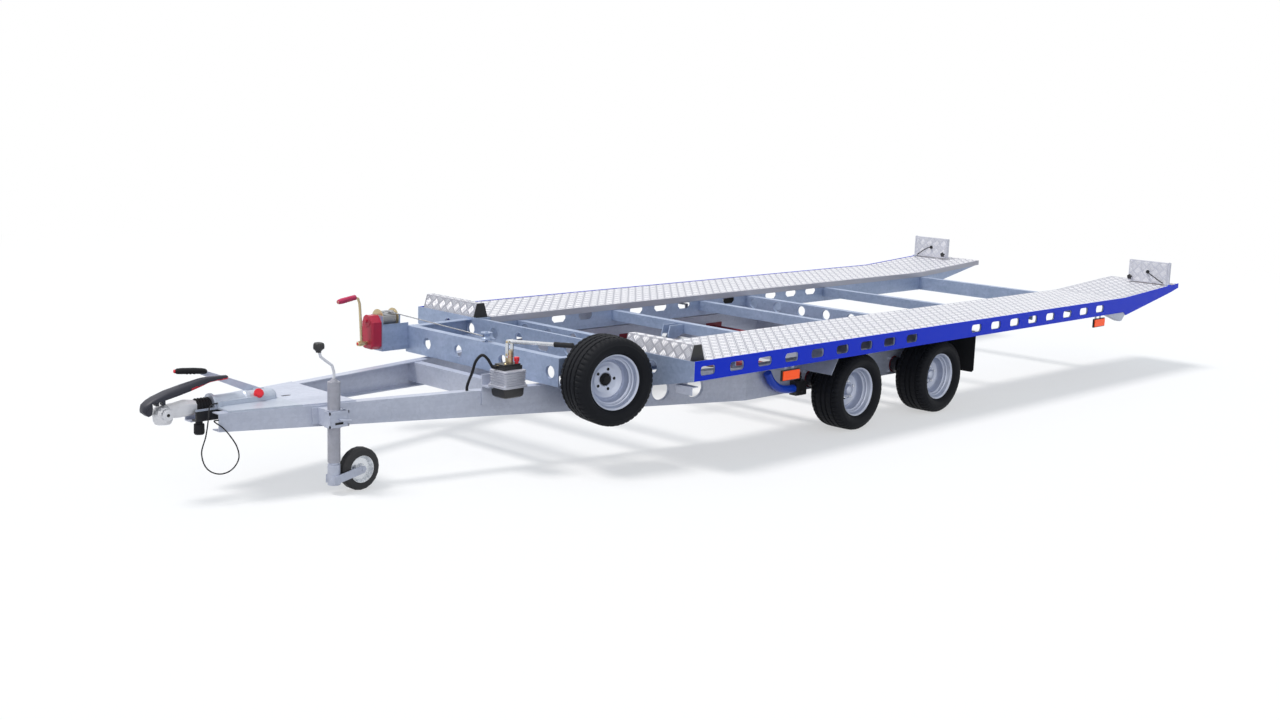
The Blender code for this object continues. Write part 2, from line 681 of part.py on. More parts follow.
def coupling_handle():
    """Curved stabiliser handle over the head, from the nose guard to the grip."""
    # x, half width, then the lower and upper face above the shaft's axis
    sections = (
        (NOSE_X, 0.010, 0.012, 0.024), (4.204, 0.024, -0.002, 0.038), (4.180, 0.034, 0.034, 0.054),
        (4.130, 0.036, 0.031, 0.076), (4.060, 0.034, 0.044, 0.096), (3.990, 0.030, 0.062, 0.112),
        (3.930, 0.022, 0.084, 0.124), (3.890, 0.015, 0.098, 0.126), (3.800, 0.013, 0.102, 0.124))
    loops = []
    for x, half, low, high in [(x, half, COUPLING_Z + a, COUPLING_Z + b) for x, half, a, b in sections]:
        loops.append([(x, y, z) for y, z in (
            (-half, low), (-half, (low + high) / 2), (-half * 0.6, high), (half * 0.6, high),
            (half, (low + high) / 2), (half, low))])
    body = loft(loops)
    guard = prism([(x, COUPLING_Z + rise) for x, rise in (
        (4.204, 0), (4.204, 0.036), (4.164, 0.044), (4.166, 0.021), (4.170, -0.012), (4.188, -0.017))], 'Y', -0.020, 0.020)
    foot = box((4.105, -0.016, COUPLING_Z + 0.0243), (4.150, 0.016, COUPLING_Z + 0.048))
    return fused(body, guard, foot)


def handbrake_lever():
    y = -0.066
    arm = prism([(x, COUPLING_Z + rise) for x, rise in (
        (3.592, 0.008), (3.622, 0.002), (3.760, 0.066), (3.896, 0.126), (3.892, 0.144), (3.880, 0.144),
        (3.745, 0.092), (3.600, 0.034))], 'Y', y - 0.005 - GAP, y + 0.006 - GAP)
    grip = bar([(x, y, COUPLING_Z + rise) for x, rise in ((3.870, 0.137), (3.905, 0.144), (4.010, 0.152), (4.020, 0.153))],
               [0.010, 0.014, 0.014, 0.008], 12)
    return fused(arm, grip)


def trailer_plug():
    """Plug hanging in its holder under the nose."""
    return turned([(0, 0), (0, 0.016), (-0.012, 0.016), (-0.014, 0.023), (-0.052, 0.024), (-0.060, 0.020),
                   (-0.060, 0)], (3.959, 0.030, PLUG_HANGER_Z - GAP), (0, 0, 1), 16)


# What the left drawbar beam carries


def beam_point(x, out, z):
    """A point at a distance out from the left beam's outer face."""
    return (x + out * math.sin(BEAM_ANGLE), beam_outer(x) + out * math.cos(BEAM_ANGLE), z)


def pump_tank():
    """Cast tank with its rim flange, on a plate against the beam."""
    y0 = beam_outer(PUMP_X[0]) + 0.014
    y1 = y0 + PUMP_WIDTH
    x0, x1 = PUMP_X
    z0, z1 = PUMP_Z
    loops = []
    for z, inset in ((z0, 0.000), (z0 + 0.012, 0.000), (z0 + 0.0125, 0.008), (z1 - 0.010, 0.004), (z1, 0.014)):
        loops.append([(x, y, z) for x, y in (
            (x0 + inset, y0 + inset), (x1 - inset, y0 + inset), (x1 - inset, y1 - inset), (x0 + inset, y1 - inset))])
    reservoir = []
    for z, inset in ((z0 + 0.001, 0.012), (z0 - 0.034, 0.014), (z0 - 0.050, 0.024)):
        reservoir.append([(x, y, z) for x, y in (
            (x0 + inset, y0 + 0.020 + inset), (x1 - inset, y0 + 0.020 + inset), (x1 - inset, y1 - inset), (x0 + inset, y1 - inset))])
    upright = loft([[beam_point(x, out, z) for out, z in (
        (GAP, BEAM_TOP - 0.070), (0.008, BEAM_TOP - 0.070), (0.008, z0 + 0.050), (GAP, z0 + 0.050))] for x in (x0 + 0.01, x1)])
    shelf = loft([[beam_point(x, out, z) for out, z in ((0.004, z0 - 0.008), (0.075, z0 - 0.008), (0.075, z0 + 0.004), (0.004, z0 + 0.004))]
                  for x in (x0 + 0.02, x1 - 0.01)])
    return fused(loft(loops), loft(reservoir), shelf, upright)


def pump_centre():
    """Middle of the tank's top, where the head sits."""
    return PUMP_X[0] + 0.075, beam_outer(PUMP_X[0]) + 0.075, PUMP_Z[1] + GAP


def pump_head():
    """Valve block, knob, lever socket and lever."""
    x, y, z = pump_centre()
    block = box((x - 0.060, y - 0.040, z), (x + 0.055, y + 0.040, z + 0.026))
    knob = cylinder((x - 0.036, y + 0.030, z), 'Z', 0.014, 0.020, 0.058, 12)
    socket = cylinder((x - 0.020, y - 0.010, z), 'Z', 0.020, 0.020, 0.142, 16)
    start = Vector((x - 0.020, y - 0.022, z + 0.128))
    tip = start + Vector((-0.072, 0.386, 0.026))
    split = start + (tip - start) * 0.72
    lever = bar([start, split, split + (tip - start) * 0.002, tip], [0.009, 0.009, 0.013, 0.013], 10)
    return fused(block, knob, socket, lever)


def spare_bracket():
    """Foot plate on the beam, arm through the rim and a round plate against its disc."""
    out = (SPARE_Y - beam_outer(SPARE_X)) * math.cos(BEAM_ANGLE)
    x = SPARE_X - out * math.sin(BEAM_ANGLE)
    axis = Vector((math.sin(BEAM_ANGLE), math.cos(BEAM_ANGLE), 0))
    centre = Vector((SPARE_X, SPARE_Y, SPARE_Z))
    plate = cylinder(centre, axis, 0.045, -0.032, -0.022 - GAP, 20)
    foot = loft([[beam_point(x + dx, out, z) for out, z in (
        (GAP, BEAM_TOP - 0.110), (0.008, BEAM_TOP - 0.110), (0.008, BEAM_TOP + 0.033), (GAP, BEAM_TOP + 0.033))]
                 for dx in (-0.08, 0.08)])
    reach = out - 0.026
    arm = loft([[beam_point(x + dx, out, z) for out, z in (
        (0.004, BEAM_TOP - 0.004), (reach, BEAM_TOP - 0.004), (reach, BEAM_TOP + 0.033), (0.004, BEAM_TOP + 0.033))]
                for dx in (-0.020, 0.020)])
    riser = loft([[beam_point(x + dx, out, z) for out, z in (
        (reach - 0.008, BEAM_TOP), (reach, BEAM_TOP), (reach, BEAM_TOP + 0.050), (reach - 0.008, BEAM_TOP + 0.050))]
                  for dx in (-0.020, 0.020)])
    clamp = cylinder(centre, axis, 0.016, -0.026, 0.006, 12)
    return fused(plate, foot, arm, riser, clamp)


def jockey_y():
    """The tube stands so far out that the wheel clears the beam when it trails."""
    return beam_outer(JOCKEY_X - JOCKEY_TRAIL - JOCKEY_RADIUS) + CLEAR + JOCKEY_WIDTH / 2


def jockey_clamp():
    y = jockey_y()
    z0, z1 = BEAM_TOP - 0.086, BEAM_TOP - 0.008
    ring = pipe((JOCKEY_X, y, 0), 'Z', JOCKEY_TUBE + 0.010, JOCKEY_TUBE + GAP * 2, z0, z1, 24)
    foot = loft([[beam_point(JOCKEY_X + dx, out, z) for out, z in (
        (GAP, z0 + 0.002), (0.010, z0 + 0.002), (0.010, z1 - 0.002), (GAP, z1 - 0.002))] for dx in (-0.055, 0.055)])
    near, far = beam_point(JOCKEY_X - 0.030, 0.004, 0), beam_point(JOCKEY_X + 0.030, 0.004, 0)
    cheek = prism([near[:2], far[:2], (JOCKEY_X + 0.030, y - 0.010), (JOCKEY_X - 0.030, y - 0.010)], 'Z', z0 + 0.001, z1 - 0.001)
    bore = cylinder((JOCKEY_X, y, 0), 'Z', JOCKEY_TUBE + GAP * 2, z0 - 0.02, z1 + 0.02, 24)
    handle = bar([(JOCKEY_X, y + JOCKEY_TUBE + 0.006, z0 + 0.038), (JOCKEY_X, y + JOCKEY_TUBE + 0.030, z0 + 0.038),
                  (JOCKEY_X - 0.050, y + JOCKEY_TUBE + 0.034, z0 + 0.032)], 0.005, 8)
    return fused(cut(fused(cheek, foot), bore), ring, handle)


def jockey_tube():
    """Outer tube with its top cap and the crank."""
    y = jockey_y()
    low, high = JOCKEY_TUBE_Z
    inner = JOCKEY_TUBE - 0.0045
    tube = turned([(low, inner), (low, JOCKEY_TUBE), (high, JOCKEY_TUBE), (high, 0.018), (high + 0.012, 0.012),
                   (high + 0.012, 0), (high - 0.006, 0), (high - 0.006, inner)], (JOCKEY_X, y, 0), (0, 0, 1), 24)
    crank = bar(smooth_route([(JOCKEY_X, y, high), (JOCKEY_X, y, high + 0.045), (JOCKEY_X + 0.010, y, high + 0.075),
                              (JOCKEY_X + 0.070, y, high + 0.120), (JOCKEY_X + 0.080, y, high + 0.160)], 0.03),
                0.0065, 8)
    knob = turned([(high + 0.140, 0), (high + 0.140, 0.008), (high + 0.156, 0.022), (high + 0.172, 0.022),
                   (high + 0.184, 0.010), (high + 0.184, 0)], (JOCKEY_X + 0.080, y, 0), (0, 0, 1), 12)
    return fused(tube, crank, knob)


def jockey_inner():
    """Inner tube that the crank drives down; the castor turns under it."""
    y = jockey_y()
    low, high = JOCKEY_TUBE_Z
    radius = JOCKEY_TUBE - 0.0045 - GAP * 2
    return turned([(low - 0.010, 0), (low - 0.010, radius), (high - 0.060, radius), (high - 0.060, 0)],
                  (JOCKEY_X, y, 0), (0, 0, 1), 20)


def jockey_fork():
    """Castor: collar under the inner tube, two arms and the wheel's pin."""
    y = jockey_y()
    top = JOCKEY_TUBE_Z[0] - 0.010 - GAP
    wheel_x, wheel_z = JOCKEY_X - JOCKEY_TRAIL, JOCKEY_RADIUS
    body = cylinder((JOCKEY_X, y, 0), 'Z', JOCKEY_TUBE, 0.045, top, 24)
    arms = []
    for side in (-1, 1):
        inner = y + side * (JOCKEY_WIDTH / 2 + 0.003)
        outer = y + side * (JOCKEY_WIDTH / 2 + 0.008)
        outline = [(JOCKEY_X + 0.020, 0.050), (JOCKEY_X + 0.020, 0.088), (wheel_x + 0.012, wheel_z + 0.018),
                   (wheel_x - 0.012, wheel_z + 0.014), (wheel_x - 0.018, wheel_z), (wheel_x - 0.008, wheel_z - 0.016),
                   (wheel_x + 0.012, wheel_z - 0.020)]
        arms.append(prism(outline, 'Y', inner, outer))
        arms.append(box((JOCKEY_X - 0.012, min(y, outer), 0.052), (JOCKEY_X + 0.019, max(y, outer), 0.086)))
    pin = cylinder((wheel_x, 0, wheel_z), 'Y', 0.008, y - JOCKEY_WIDTH / 2 - 0.012, y + JOCKEY_WIDTH / 2 + 0.012, 12)
    return fused(body, *arms, pin)


def jockey_wheel():
    y = jockey_y()
    centre = (JOCKEY_X - JOCKEY_TRAIL, y, JOCKEY_RADIUS)
    half = JOCKEY_WIDTH / 2
    profile = [(half, 0.0085), (half, 0.022), (0.010, 0.026), (0.008, 0.050), (half, 0.062), (half - 0.002, 0.088),
               (half - 0.012, JOCKEY_RADIUS)]
    return turned(profile + [(-a, r) for a, r in reversed(profile)], centre, (0, 1, 0), 20), centre


# Bed


def rail_section(x, bottom, outer=HALF):
    top = deck_top(x)
    shelf = top - LIP - SHEET - GAP
    web, flange = outer - THIN, outer - THIN - RAIL_FLANGE
    return [(x, y, z) for y, z in (
        (outer, bottom), (outer, top), (web, top), (web, shelf), (flange, shelf), (flange, shelf - THIN),
        (web, shelf - THIN), (web, bottom + THIN), (flange, bottom + THIN), (flange, bottom))]


def side_rail():
    """Left rail, with its slots, the deeper start of the tail and the lamp plate's pin."""
    level = DECK_Z - RAIL_DEPTH
    front = BED_FRONT_X - 0.006 - GAP
    stations = [(front, level), (KINK_X, level), (KINK_X - 0.030, level - 0.024),
                (TAIL_X + 0.127, deck_top(TAIL_X + 0.127) - 0.0522), (TAIL_X, deck_top(TAIL_X) - TAIL_TIP_DEPTH)]
    rail = loft([rail_section(x, bottom) for x, bottom in stations])
    slots = []
    middle = DECK_Z - RAIL_DEPTH / 2 - 0.002
    for first, count in ((SLOT_FRONT_X, SLOTS_FRONT), (SLOT_REAR_X, SLOTS_REAR)):
        for i in range(count):
            outline = round_rectangle(first - i * SLOT_PITCH, middle, SLOT_LENGTH, SLOT_HEIGHT, 0.018, 2)
            slots.append(prism(outline, 'Y', HALF - 0.02, HALF + 0.02))
    rail = cut(rail, *slots)
    top = deck_top(LAMP_PIN_X)
    tab = box((LAMP_PIN_X - 0.020, LAMP_PIN_Y - 0.016, top - 0.0015), (LAMP_PIN_X + 0.020, HALF - 0.001, top + 0.006))
    pin = cylinder((LAMP_PIN_X, LAMP_PIN_Y, top), 'Z', LAMP_PIN_RADIUS, 0.003, LAMP_PLATE_HEIGHT + 0.004, 12)
    return fused(rail, tab, pin)


def runway():
    """Left tread plate behind the stop: a sheet with its inner edge folded down, bent up at the tail."""
    outer = HALF - THIN - GAP
    inner = RUNWAY_INNER_Y
    loops = []
    for x in (STOP_X[0] - GAP, KINK_X, TAIL_X + 0.002):
        top = deck_top(x) - LIP
        loops.append([(x, y, z) for y, z in (
            (outer, top - SHEET), (outer, top), (inner, top), (inner, top - RUNWAY_FOLD),
            (inner + SHEET, top - RUNWAY_FOLD), (inner + SHEET, top - SHEET))])
    return loft(loops)


def front_crossbeam():
    """Pressed plate across the front, deeper in the middle, with its flanges and holes."""
    low_end, low_middle = DECK_Z - RAIL_DEPTH, BEAM_TOP + GAP
    bend = HALF - 0.300
    outline = [(-HALF, low_end), (-bend, low_middle), (bend, low_middle), (HALF, low_end), (HALF, DECK_Z), (-HALF, DECK_Z)]
    plate = prism(outline, 'X', BED_FRONT_X - 0.006, BED_FRONT_X)
    shelf = DECK_Z - LIP - SHEET - GAP
    reach = HALF - THIN - RAIL_FLANGE - GAP
    top_flange = box((BED_FRONT_X - 0.046, -reach, shelf - THIN), (BED_FRONT_X - 0.003, reach, shelf))
    bottom_flange = box((BED_FRONT_X - 0.046, 0.010 - bend, low_middle), (BED_FRONT_X - 0.003, bend - 0.010, low_middle + THIN))
    holes = []
    for share in (0.182, 0.373, 0.555, 0.745):
        for side in (-1, 1):
            holes.append(cylinder((BED_FRONT_X, side * share * HALF, DECK_Z - 0.065), 'X', HOLE_RADIUS, -0.02, 0.02, 16))
    holes.append(prism(round_rectangle(0, DECK_Z - 0.083, 0.085, 0.040, 0.0195), 'X', BED_FRONT_X - 0.02, BED_FRONT_X + 0.02))
    return cut(fused(plate, top_flange, bottom_flange), *holes)


def inner_rail(side):
    loops = []
    for x in (BED_FRONT_X - 0.046 - GAP, KINK_X, TAIL_X + 0.012):
        shelf = deck_top(x) - LIP - SHEET - GAP
        bottom = tapered_bottom(x, INNER_RAIL_Z)
        web = RUNWAY_INNER_Y + SHEET + GAP
        loops.append(channel(lambda a, z, x=x, web=web: (x, side * (web + a), z), THIN, INNER_RAIL_FLANGE, shelf, bottom, THIN))
    return loft(loops)


def bed_ladder():
    """Welded inner rails, crossmembers, outriggers, tilt ears and the cylinder's ears."""
    parts = [inner_rail(1), inner_rail(-1)]
    holes = []
    span = RUNWAY_INNER_Y + SHEET + GAP + THIN / 2
    reach = HALF - THIN - GAP
    for x, deep, holed, outriggers in CROSSMEMBERS:
        if deep:
            parts.append(prism(c_outline(x, CROSSMEMBER_DEPTH, INNER_RAIL_Z + 0.001, CROSSMEMBER_Z, THIN), 'Y', -span, span))
            for share in (-0.87, -0.52, -0.174, 0.174, 0.52, 0.87) if holed else ():
                holes.append(cylinder((x, share * span, CROSSMEMBER_Z - 0.043), 'X', HOLE_RADIUS, -0.03, 0.01, 12))
        else:
            width, low = CROSSMEMBER_DEPTH, CROSSMEMBER_Z - 0.060
            outline = [(x, low), (x, CROSSMEMBER_Z), (x - width, CROSSMEMBER_Z), (x - width, low), (x - width + THIN, low),
                       (x - width + THIN, CROSSMEMBER_Z - THIN), (x - THIN, CROSSMEMBER_Z - THIN), (x - THIN, low)]
            parts.append(prism(outline, 'Y', -span, span))
    riggers = [x for x, _, _, outriggers in CROSSMEMBERS if outriggers] + list(OUTRIGGERS_X)
    for x in riggers:
        top = deck_top(x - 0.04) - LIP - SHEET - GAP - THIN - 0.004
        low = max(top - 0.040, tapered_bottom(x, INNER_RAIL_Z) + 0.002)
        if x < -3.0:
            low = top - 0.014
        for side in (-1, 1):
            outline = [(x, low), (x, top), (x - 0.040, top), (x - 0.040, top - THIN), (x - THIN, top - THIN), (x - THIN, low)]
            parts.append(prism(outline, 'Y', side * (span - 0.001), side * reach))
    web = RUNWAY_INNER_Y + SHEET + GAP
    for x in [INNER_SLOT_X - i * SLOT_PITCH for i in range(INNER_SLOTS)]:
        reach_x = SLOT_LENGTH / 2 + 0.008
        if all(x + reach_x < back - CROSSMEMBER_DEPTH or x - reach_x > back for back, _, _, _ in CROSSMEMBERS):
            outline = round_rectangle(x, INNER_RAIL_Z + 0.082, SLOT_LENGTH, SLOT_HEIGHT, 0.018, 1)
            for side in (-1, 1):
                holes.append(prism(outline, 'Y', side * (web - 0.01), side * (web + 0.01)))
    for side in (-1, 1):
        outline = [(PIVOT_X - 0.060, INNER_RAIL_Z + 0.030), (PIVOT_X - 0.060, INNER_RAIL_Z), (PIVOT_X - 0.026, PIVOT_Z),
                   (PIVOT_X - 0.014, PIVOT_Z - 0.026), (PIVOT_X + 0.014, PIVOT_Z - 0.026), (PIVOT_X + 0.026, PIVOT_Z),
                   (PIVOT_X + 0.060, INNER_RAIL_Z), (PIVOT_X + 0.060, INNER_RAIL_Z + 0.030)]
        parts.append(prism(outline, 'Y', side * (web + 0.001), side * (PIVOT_EAR_Y - GAP * 2)))
        holes.append(cylinder((PIVOT_X, 0, PIVOT_Z), 'Y', PIVOT_PIN + 0.0006,
                              side * (PIVOT_EAR_Y - 0.056), side * (PIVOT_EAR_Y + 0.024), 24))
    for side in (-1, 1):
        near = CROSSMEMBERS[1][0] - 0.002
        outline = [(near, CROSSMEMBER_Z - 0.006), (near, CROSSMEMBER_Z - 0.058), (ROD_EYE_X - 0.012, ROD_EYE_Z - 0.016),
                   (ROD_EYE_X + 0.012, ROD_EYE_Z - 0.016), (ROD_EYE_X + 0.018, ROD_EYE_Z + 0.012), (ROD_EYE_X + 0.004, CROSSMEMBER_Z - 0.006)]
        parts.append(prism(outline, 'Y', side * 0.022, side * 0.030))
    parts.append(cylinder((ROD_EYE_X, 0, ROD_EYE_Z), 'Y', ROD_PIN, -0.033, 0.033, 16))
    return cut(fused(*parts), *holes)


def wheel_stop():
    """Left stop: a bent tread plate with closed ends, open below."""
    y0, y1 = STOP_Y
    base = DECK_Z - LIP - SHEET
    x0, x1 = STOP_X
    top, rise = base + STOP_HEIGHT, 0.025
    shell = prism([(x0, base), (x0 + rise, top), (x1 - rise, top), (x1, base)], 'Y', y0, y1)
    hollow = prism([(x0 + SHEET * 0.5, base - 0.01), (x0 + rise + SHEET, top - SHEET),
                    (x1 - rise - SHEET, top - SHEET), (x1 - SHEET * 0.5, base - 0.01)], 'Y', y0 + SHEET, y1 - SHEET)
    return cut(shell, hollow)


def winch_frame():
    """Cross channel ahead of the bed on two side members, with the winch's cradle and the rope's pulley."""
    low, high = WINCH_BEAM_Z
    cross = prism(c_outline(WINCH_BEAM_X, 0.050, low, high, WALL), 'Y', -WINCH_BEAM_Y, WINCH_BEAM_Y)
    sides = []
    for side in (-1, 1):
        near = WINCH_BEAM_X - 0.002
        foot = BED_FRONT_X + GAP
        loops = []
        for x, y in ((near, WINCH_BEAM_Y), (foot, SIDE_MEMBER_FOOT_Y)):
            loops.append(channel(lambda a, z, x=x, y=y: (x, side * (y - a), z), THIN, 0.050, high - 0.002, low + 0.055, THIN))
        sides.append(loft(loops))
    holes = [cylinder((WINCH_BEAM_X, share * WINCH_BEAM_Y, low + 0.067), 'X', HOLE_RADIUS, -0.03, 0.01, 16)
             for share in WINCH_BEAM_HOLES]
    frame = cut(fused(cross, *sides), *holes)
    x0, x1 = WINCH_BEAM_X - 0.003, DRUM_X[1] + 0.008 + GAP
    foot, side = low + 0.017, 0.017 - WINCH_BEAM_Y
    cheek = box((x0, side - 0.006, foot), (x1, side, high + 0.018))
    back = box((DRUM_X[0] - 0.008 - GAP, WINCH_Y - 0.045, foot), (DRUM_X[0] - GAP, side - 0.002, DRUM_Z + 0.020))
    front = box((DRUM_X[1] + GAP, WINCH_Y - 0.045, foot), (DRUM_X[1] + 0.008 + GAP, side - 0.002, DRUM_Z + 0.020))
    floor = box((DRUM_X[0] - 0.006, WINCH_Y - 0.045, foot), (DRUM_X[1] + 0.006, side - 0.003, foot + 0.006))
    pulley = (PULLEY_X, PULLEY_Y, 0)
    post = cylinder(pulley, 'Z', 0.007, high - 0.002, high + 0.052, 12)
    cheeks = [cylinder(pulley, 'Z', 0.030, high + a, high + a + 0.005, 20) for a in (0.012, 0.043)]
    sheave = turned([(high + 0.0165, 0), (high + 0.0165, 0.029), (high + 0.030, 0.019), (high + 0.0435, 0.029), (high + 0.0435, 0)],
                    pulley, (0, 0, 1), 20)
    return fused(frame, cheek, back, front, floor, post, *cheeks, sheave)


def winch_drum():
    """Flanged drum with its wound rope."""
    x0, x1 = DRUM_X
    return turned([(x0, 0), (x0, 0.052), (x0 + 0.004, 0.052), (x0 + 0.006, 0.036), (x1 - 0.006, 0.036),
                   (x1 - 0.004, 0.052), (x1, 0.052), (x1, 0)], (0, WINCH_Y, DRUM_Z), (1, 0, 0), 28)


def winch_housing():
    """Red gear housing with bevelled edges in front of the drum."""
    x0 = DRUM_X[1] + 0.008 + GAP * 2
    y0, y1 = WINCH_Y - 0.050, WINCH_Y + 0.050
    z0, z1 = WINCH_BEAM_Z[0] + 0.029, DRUM_Z + 0.022
    loops = []
    for x, inset in ((x0, 0.0), (x0 + 0.052, 0.0), (x0 + 0.060, 0.008)):
        loops.append([(x, y, z) for y, z in (
            (y0 + inset, z0 + 0.018), (y0 + 0.018, z0 + inset), (y1 - 0.018, z0 + inset), (y1 - inset, z0 + 0.018),
            (y1 - inset, z1 - 0.034), (y1 - 0.030, z1 - inset), (y0 + 0.030, z1 - inset), (y0 + inset, z1 - 0.034))])
    return loft(loops)


def winch_crank():
    """Pinion shaft, hub, flat arm and turning grip."""
    x0 = DRUM_X[1] + 0.068 + GAP * 3
    shaft = cylinder((x0, WINCH_Y, CRANK_Z), 'X', 0.010, 0, 0.052, 16)
    hub = cylinder((x0, WINCH_Y, CRANK_Z), 'X', 0.015, 0.024, 0.046, 16)
    cap = cylinder((x0, WINCH_Y, CRANK_Z), 'X', 0.013, 0.044, 0.058, 12)
    arm = bar(smooth_route([(x0 + 0.034, WINCH_Y, CRANK_Z), (x0 + 0.038, WINCH_Y, CRANK_Z + 0.090),
                            (x0 + 0.046, WINCH_Y, CRANK_Z + 0.215), (x0 + 0.056, WINCH_Y, CRANK_Z + 0.242),
                            (x0 + 0.080, WINCH_Y, CRANK_Z + 0.250)], 0.03), 0.0075, 10)
    grip = bar([(x0 + 0.070, WINCH_Y, CRANK_Z + 0.250), (x0 + 0.074, WINCH_Y, CRANK_Z + 0.250),
                (x0 + 0.160, WINCH_Y, CRANK_Z + 0.236), (x0 + 0.184, WINCH_Y, CRANK_Z + 0.232)],
               [0.008, 0.0135, 0.0145, 0.009], 12)
    return fused(shaft, hub, cap, arm, grip)


# Lamp plates


def lamp_plate():
    """Left lamp plate: a tray with turned edges, its hinge barrel and the clamp knob."""
    base = deck_top(LAMP_PIN_X) + 0.006 + GAP
    top = base + LAMP_PLATE_HEIGHT - 0.006
    outer = LAMP_PIN_Y - 0.006
    inner = outer - LAMP_PLATE_WIDTH
    face = LAMP_PIN_X + 0.012
    tray = box((face - 0.030, inner, base), (face, outer, top))
    hollow = box((face - 0.060, inner + SHEET, base + SHEET), (face - SHEET, outer - SHEET, top - SHEET))
    barrel = cylinder((LAMP_PIN_X, LAMP_PIN_Y, 0), 'Z', 0.0115, base, top, 20)
    bore = cylinder((LAMP_PIN_X, LAMP_PIN_Y, 0), 'Z', LAMP_PIN_RADIUS + 0.0005, base - 0.01, top + 0.01, 12)
    knob = turned([(-0.001, 0), (-0.001, 0.006), (0.014, 0.006), (0.014, 0.017), (0.026, 0.019), (0.030, 0.012), (0.030, 0)],
                  (face, inner + 0.022, base + 0.030), (1, 0, 0), 12)
    gland = cylinder((face, (inner + outer) / 2, (base + top) / 2), 'X', 0.009, -0.001, 0.012, 12)
    return cut(fused(cut(tray, hollow), barrel, knob, gland), bore)


def tail_lamp():
    """Left lamp cluster behind the plate."""
    base = deck_top(LAMP_PIN_X) + 0.006
    outer = LAMP_PIN_Y - 0.030
    back = LAMP_PIN_X + 0.012 - SHEET - GAP
    loops = []
    for x, inset in ((back, 0.004), (back - 0.034, 0.0), (back - 0.052, 0.010)):
        loops.append([(x, y, z) for y, z in (
            (outer - 0.235 + inset, base + 0.030 + inset), (outer - inset, base + 0.030 + inset),
            (outer - inset, base + 0.130 - inset), (outer - 0.235 + inset, base + 0.130 - inset))])
    return loft(loops)


# Tilt cylinder


def tilt_direction():
    return Vector((ROD_EYE_X - BARREL_EYE_X, 0, ROD_EYE_Z - BARREL_EYE_Z))


def tilt_barrel():
    direction = tilt_direction()
    axis = direction.normalized()
    eye = pipe((BARREL_EYE_X, 0, BARREL_EYE_Z), 'Y', 0.022, ROD_PIN + 0.0006, -0.0190, 0.0190, 20)
    base = Vector((BARREL_EYE_X, 0, BARREL_EYE_Z))
    body = turned([(0.018, 0), (0.018, 0.018), (0.040, 0.032), (0.430, 0.032), (0.430, 0.028), (0.450, 0.028),
                   (0.450, 0.0165 + GAP * 2), (0.080, 0.0165 + GAP * 2), (0.080, 0)], base, axis, 20)
    return fused(body, eye)


def tilt_rod():
    direction = tilt_direction()
    axis = direction.normalized()
    base = Vector((BARREL_EYE_X, 0, BARREL_EYE_Z))
    length = direction.length
    rod = turned([(0.190, 0), (0.190, 0.0165), (length - 0.030, 0.0165), (length - 0.024, 0.012), (length - 0.024, 0)], base, axis, 20)
    eye = pipe((ROD_EYE_X, 0, ROD_EYE_Z), 'Y', ROD_PIN + EYE_PLAY + 0.007, ROD_PIN + EYE_PLAY, -0.0165, 0.0165, 24)
    return fused(rod, eye)


def build_chassis(trailer):
    trailer.piece('chassis_beam_left', chassis_beam(), 'galvanised')
    trailer.piece('chassis_beam_right', mirrored(chassis_beam()), 'galvanised')
    trailer.piece('chassis_crossmember_front', front_chassis_crossmember(), 'galvanised')
    trailer.piece('chassis_crossmember_middle', middle_chassis_crossmember(), 'galvanised')
    trailer.piece('chassis_crossmember_rear', rear_chassis_crossmember(), 'galvanised')
    trailer.piece('axle_front', torsion_axle(AXLE_X), 'axle_red')
    trailer.piece('axle_rear', torsion_axle(-AXLE_X), 'axle_red')
    trailer.piece('mudguard_left', mudguard(), 'galvanised')
    trailer.piece('mudguard_right', mirrored(mudguard()), 'galvanised')
    trailer.piece('mudflap_left', mudflap(), 'rubber')
    trailer.piece('mudflap_right', mirrored(mudflap()), 'rubber')


def build_nose(trailer):
    trailer.piece('nose_plate', nose_plate(), 'galvanised')
    trailer.piece('overrun_housing', overrun_housing(), 'galvanised', round_form=True)
    trailer.piece('overrun_bellows', bellows(), 'rubber', round_form=True)
    trailer.piece('coupling_head', coupling_head(), 'cast_grey', round_form=True)
    trailer.piece('coupling_handle', coupling_handle(), 'dark_grey', round_form=True)
    trailer.piece('handbrake_lever', handbrake_lever(), 'galvanised', round_form=True)
    trailer.piece('trailer_plug', trailer_plug(), 'black_plastic', round_form=True)
    trailer.cord('breakaway_cable', BREAKAWAY_ROUTE, 0.003, 'steel_rope', step=0.030)


# Route of the breakaway cable from the clip on the overrun housing to the beam's nose
BREAKAWAY_ROUTE = tuple((x, y, COUPLING_Z + rise) for x, y, rise in (
    (3.8843, 0.059, 0.013), (3.905, 0.059, 0.013), (3.935, 0.080, 0.004), (3.962, 0.118, -0.032), (3.995, 0.152, -0.102),
    (4.022, 0.162, -0.167), (4.010, 0.164, -0.227), (3.975, 0.165, -0.264), (3.925, 0.166, -0.278),
    (3.878, 0.170, -0.262), (3.852, 0.178, -0.217), (3.862, 0.180, -0.162), (3.895, 0.177, -0.107),
    (3.925, 0.172, -0.070), (3.950, 0.158, -0.048), (3.952, 0.1475, -0.0405), (3.9305, 0.1475, -0.0405),
))


def hose_route():
    """Route of the pump's hose from its head's front face down to the beam's top flange."""
    x, y, z = pump_centre()
    front, across, height = x + 0.055 + GAP, y - 0.012, z + 0.013
    end_x = front + 0.075
    end_y = beam_outer(end_x) - 0.024
    return [(front, across, height), (front + 0.024, across, height), (front + 0.052, across - 0.006, height + 0.042),
            (front + 0.072, across - 0.024, height + 0.060), (front + 0.088, across - 0.050, height + 0.028),
            (front + 0.086, across - 0.078, height - 0.030), (front + 0.078, end_y + 0.016, height - 0.080),
            (end_x, end_y, height - 0.110), (end_x, end_y, BEAM_TOP + GAP * 2)]


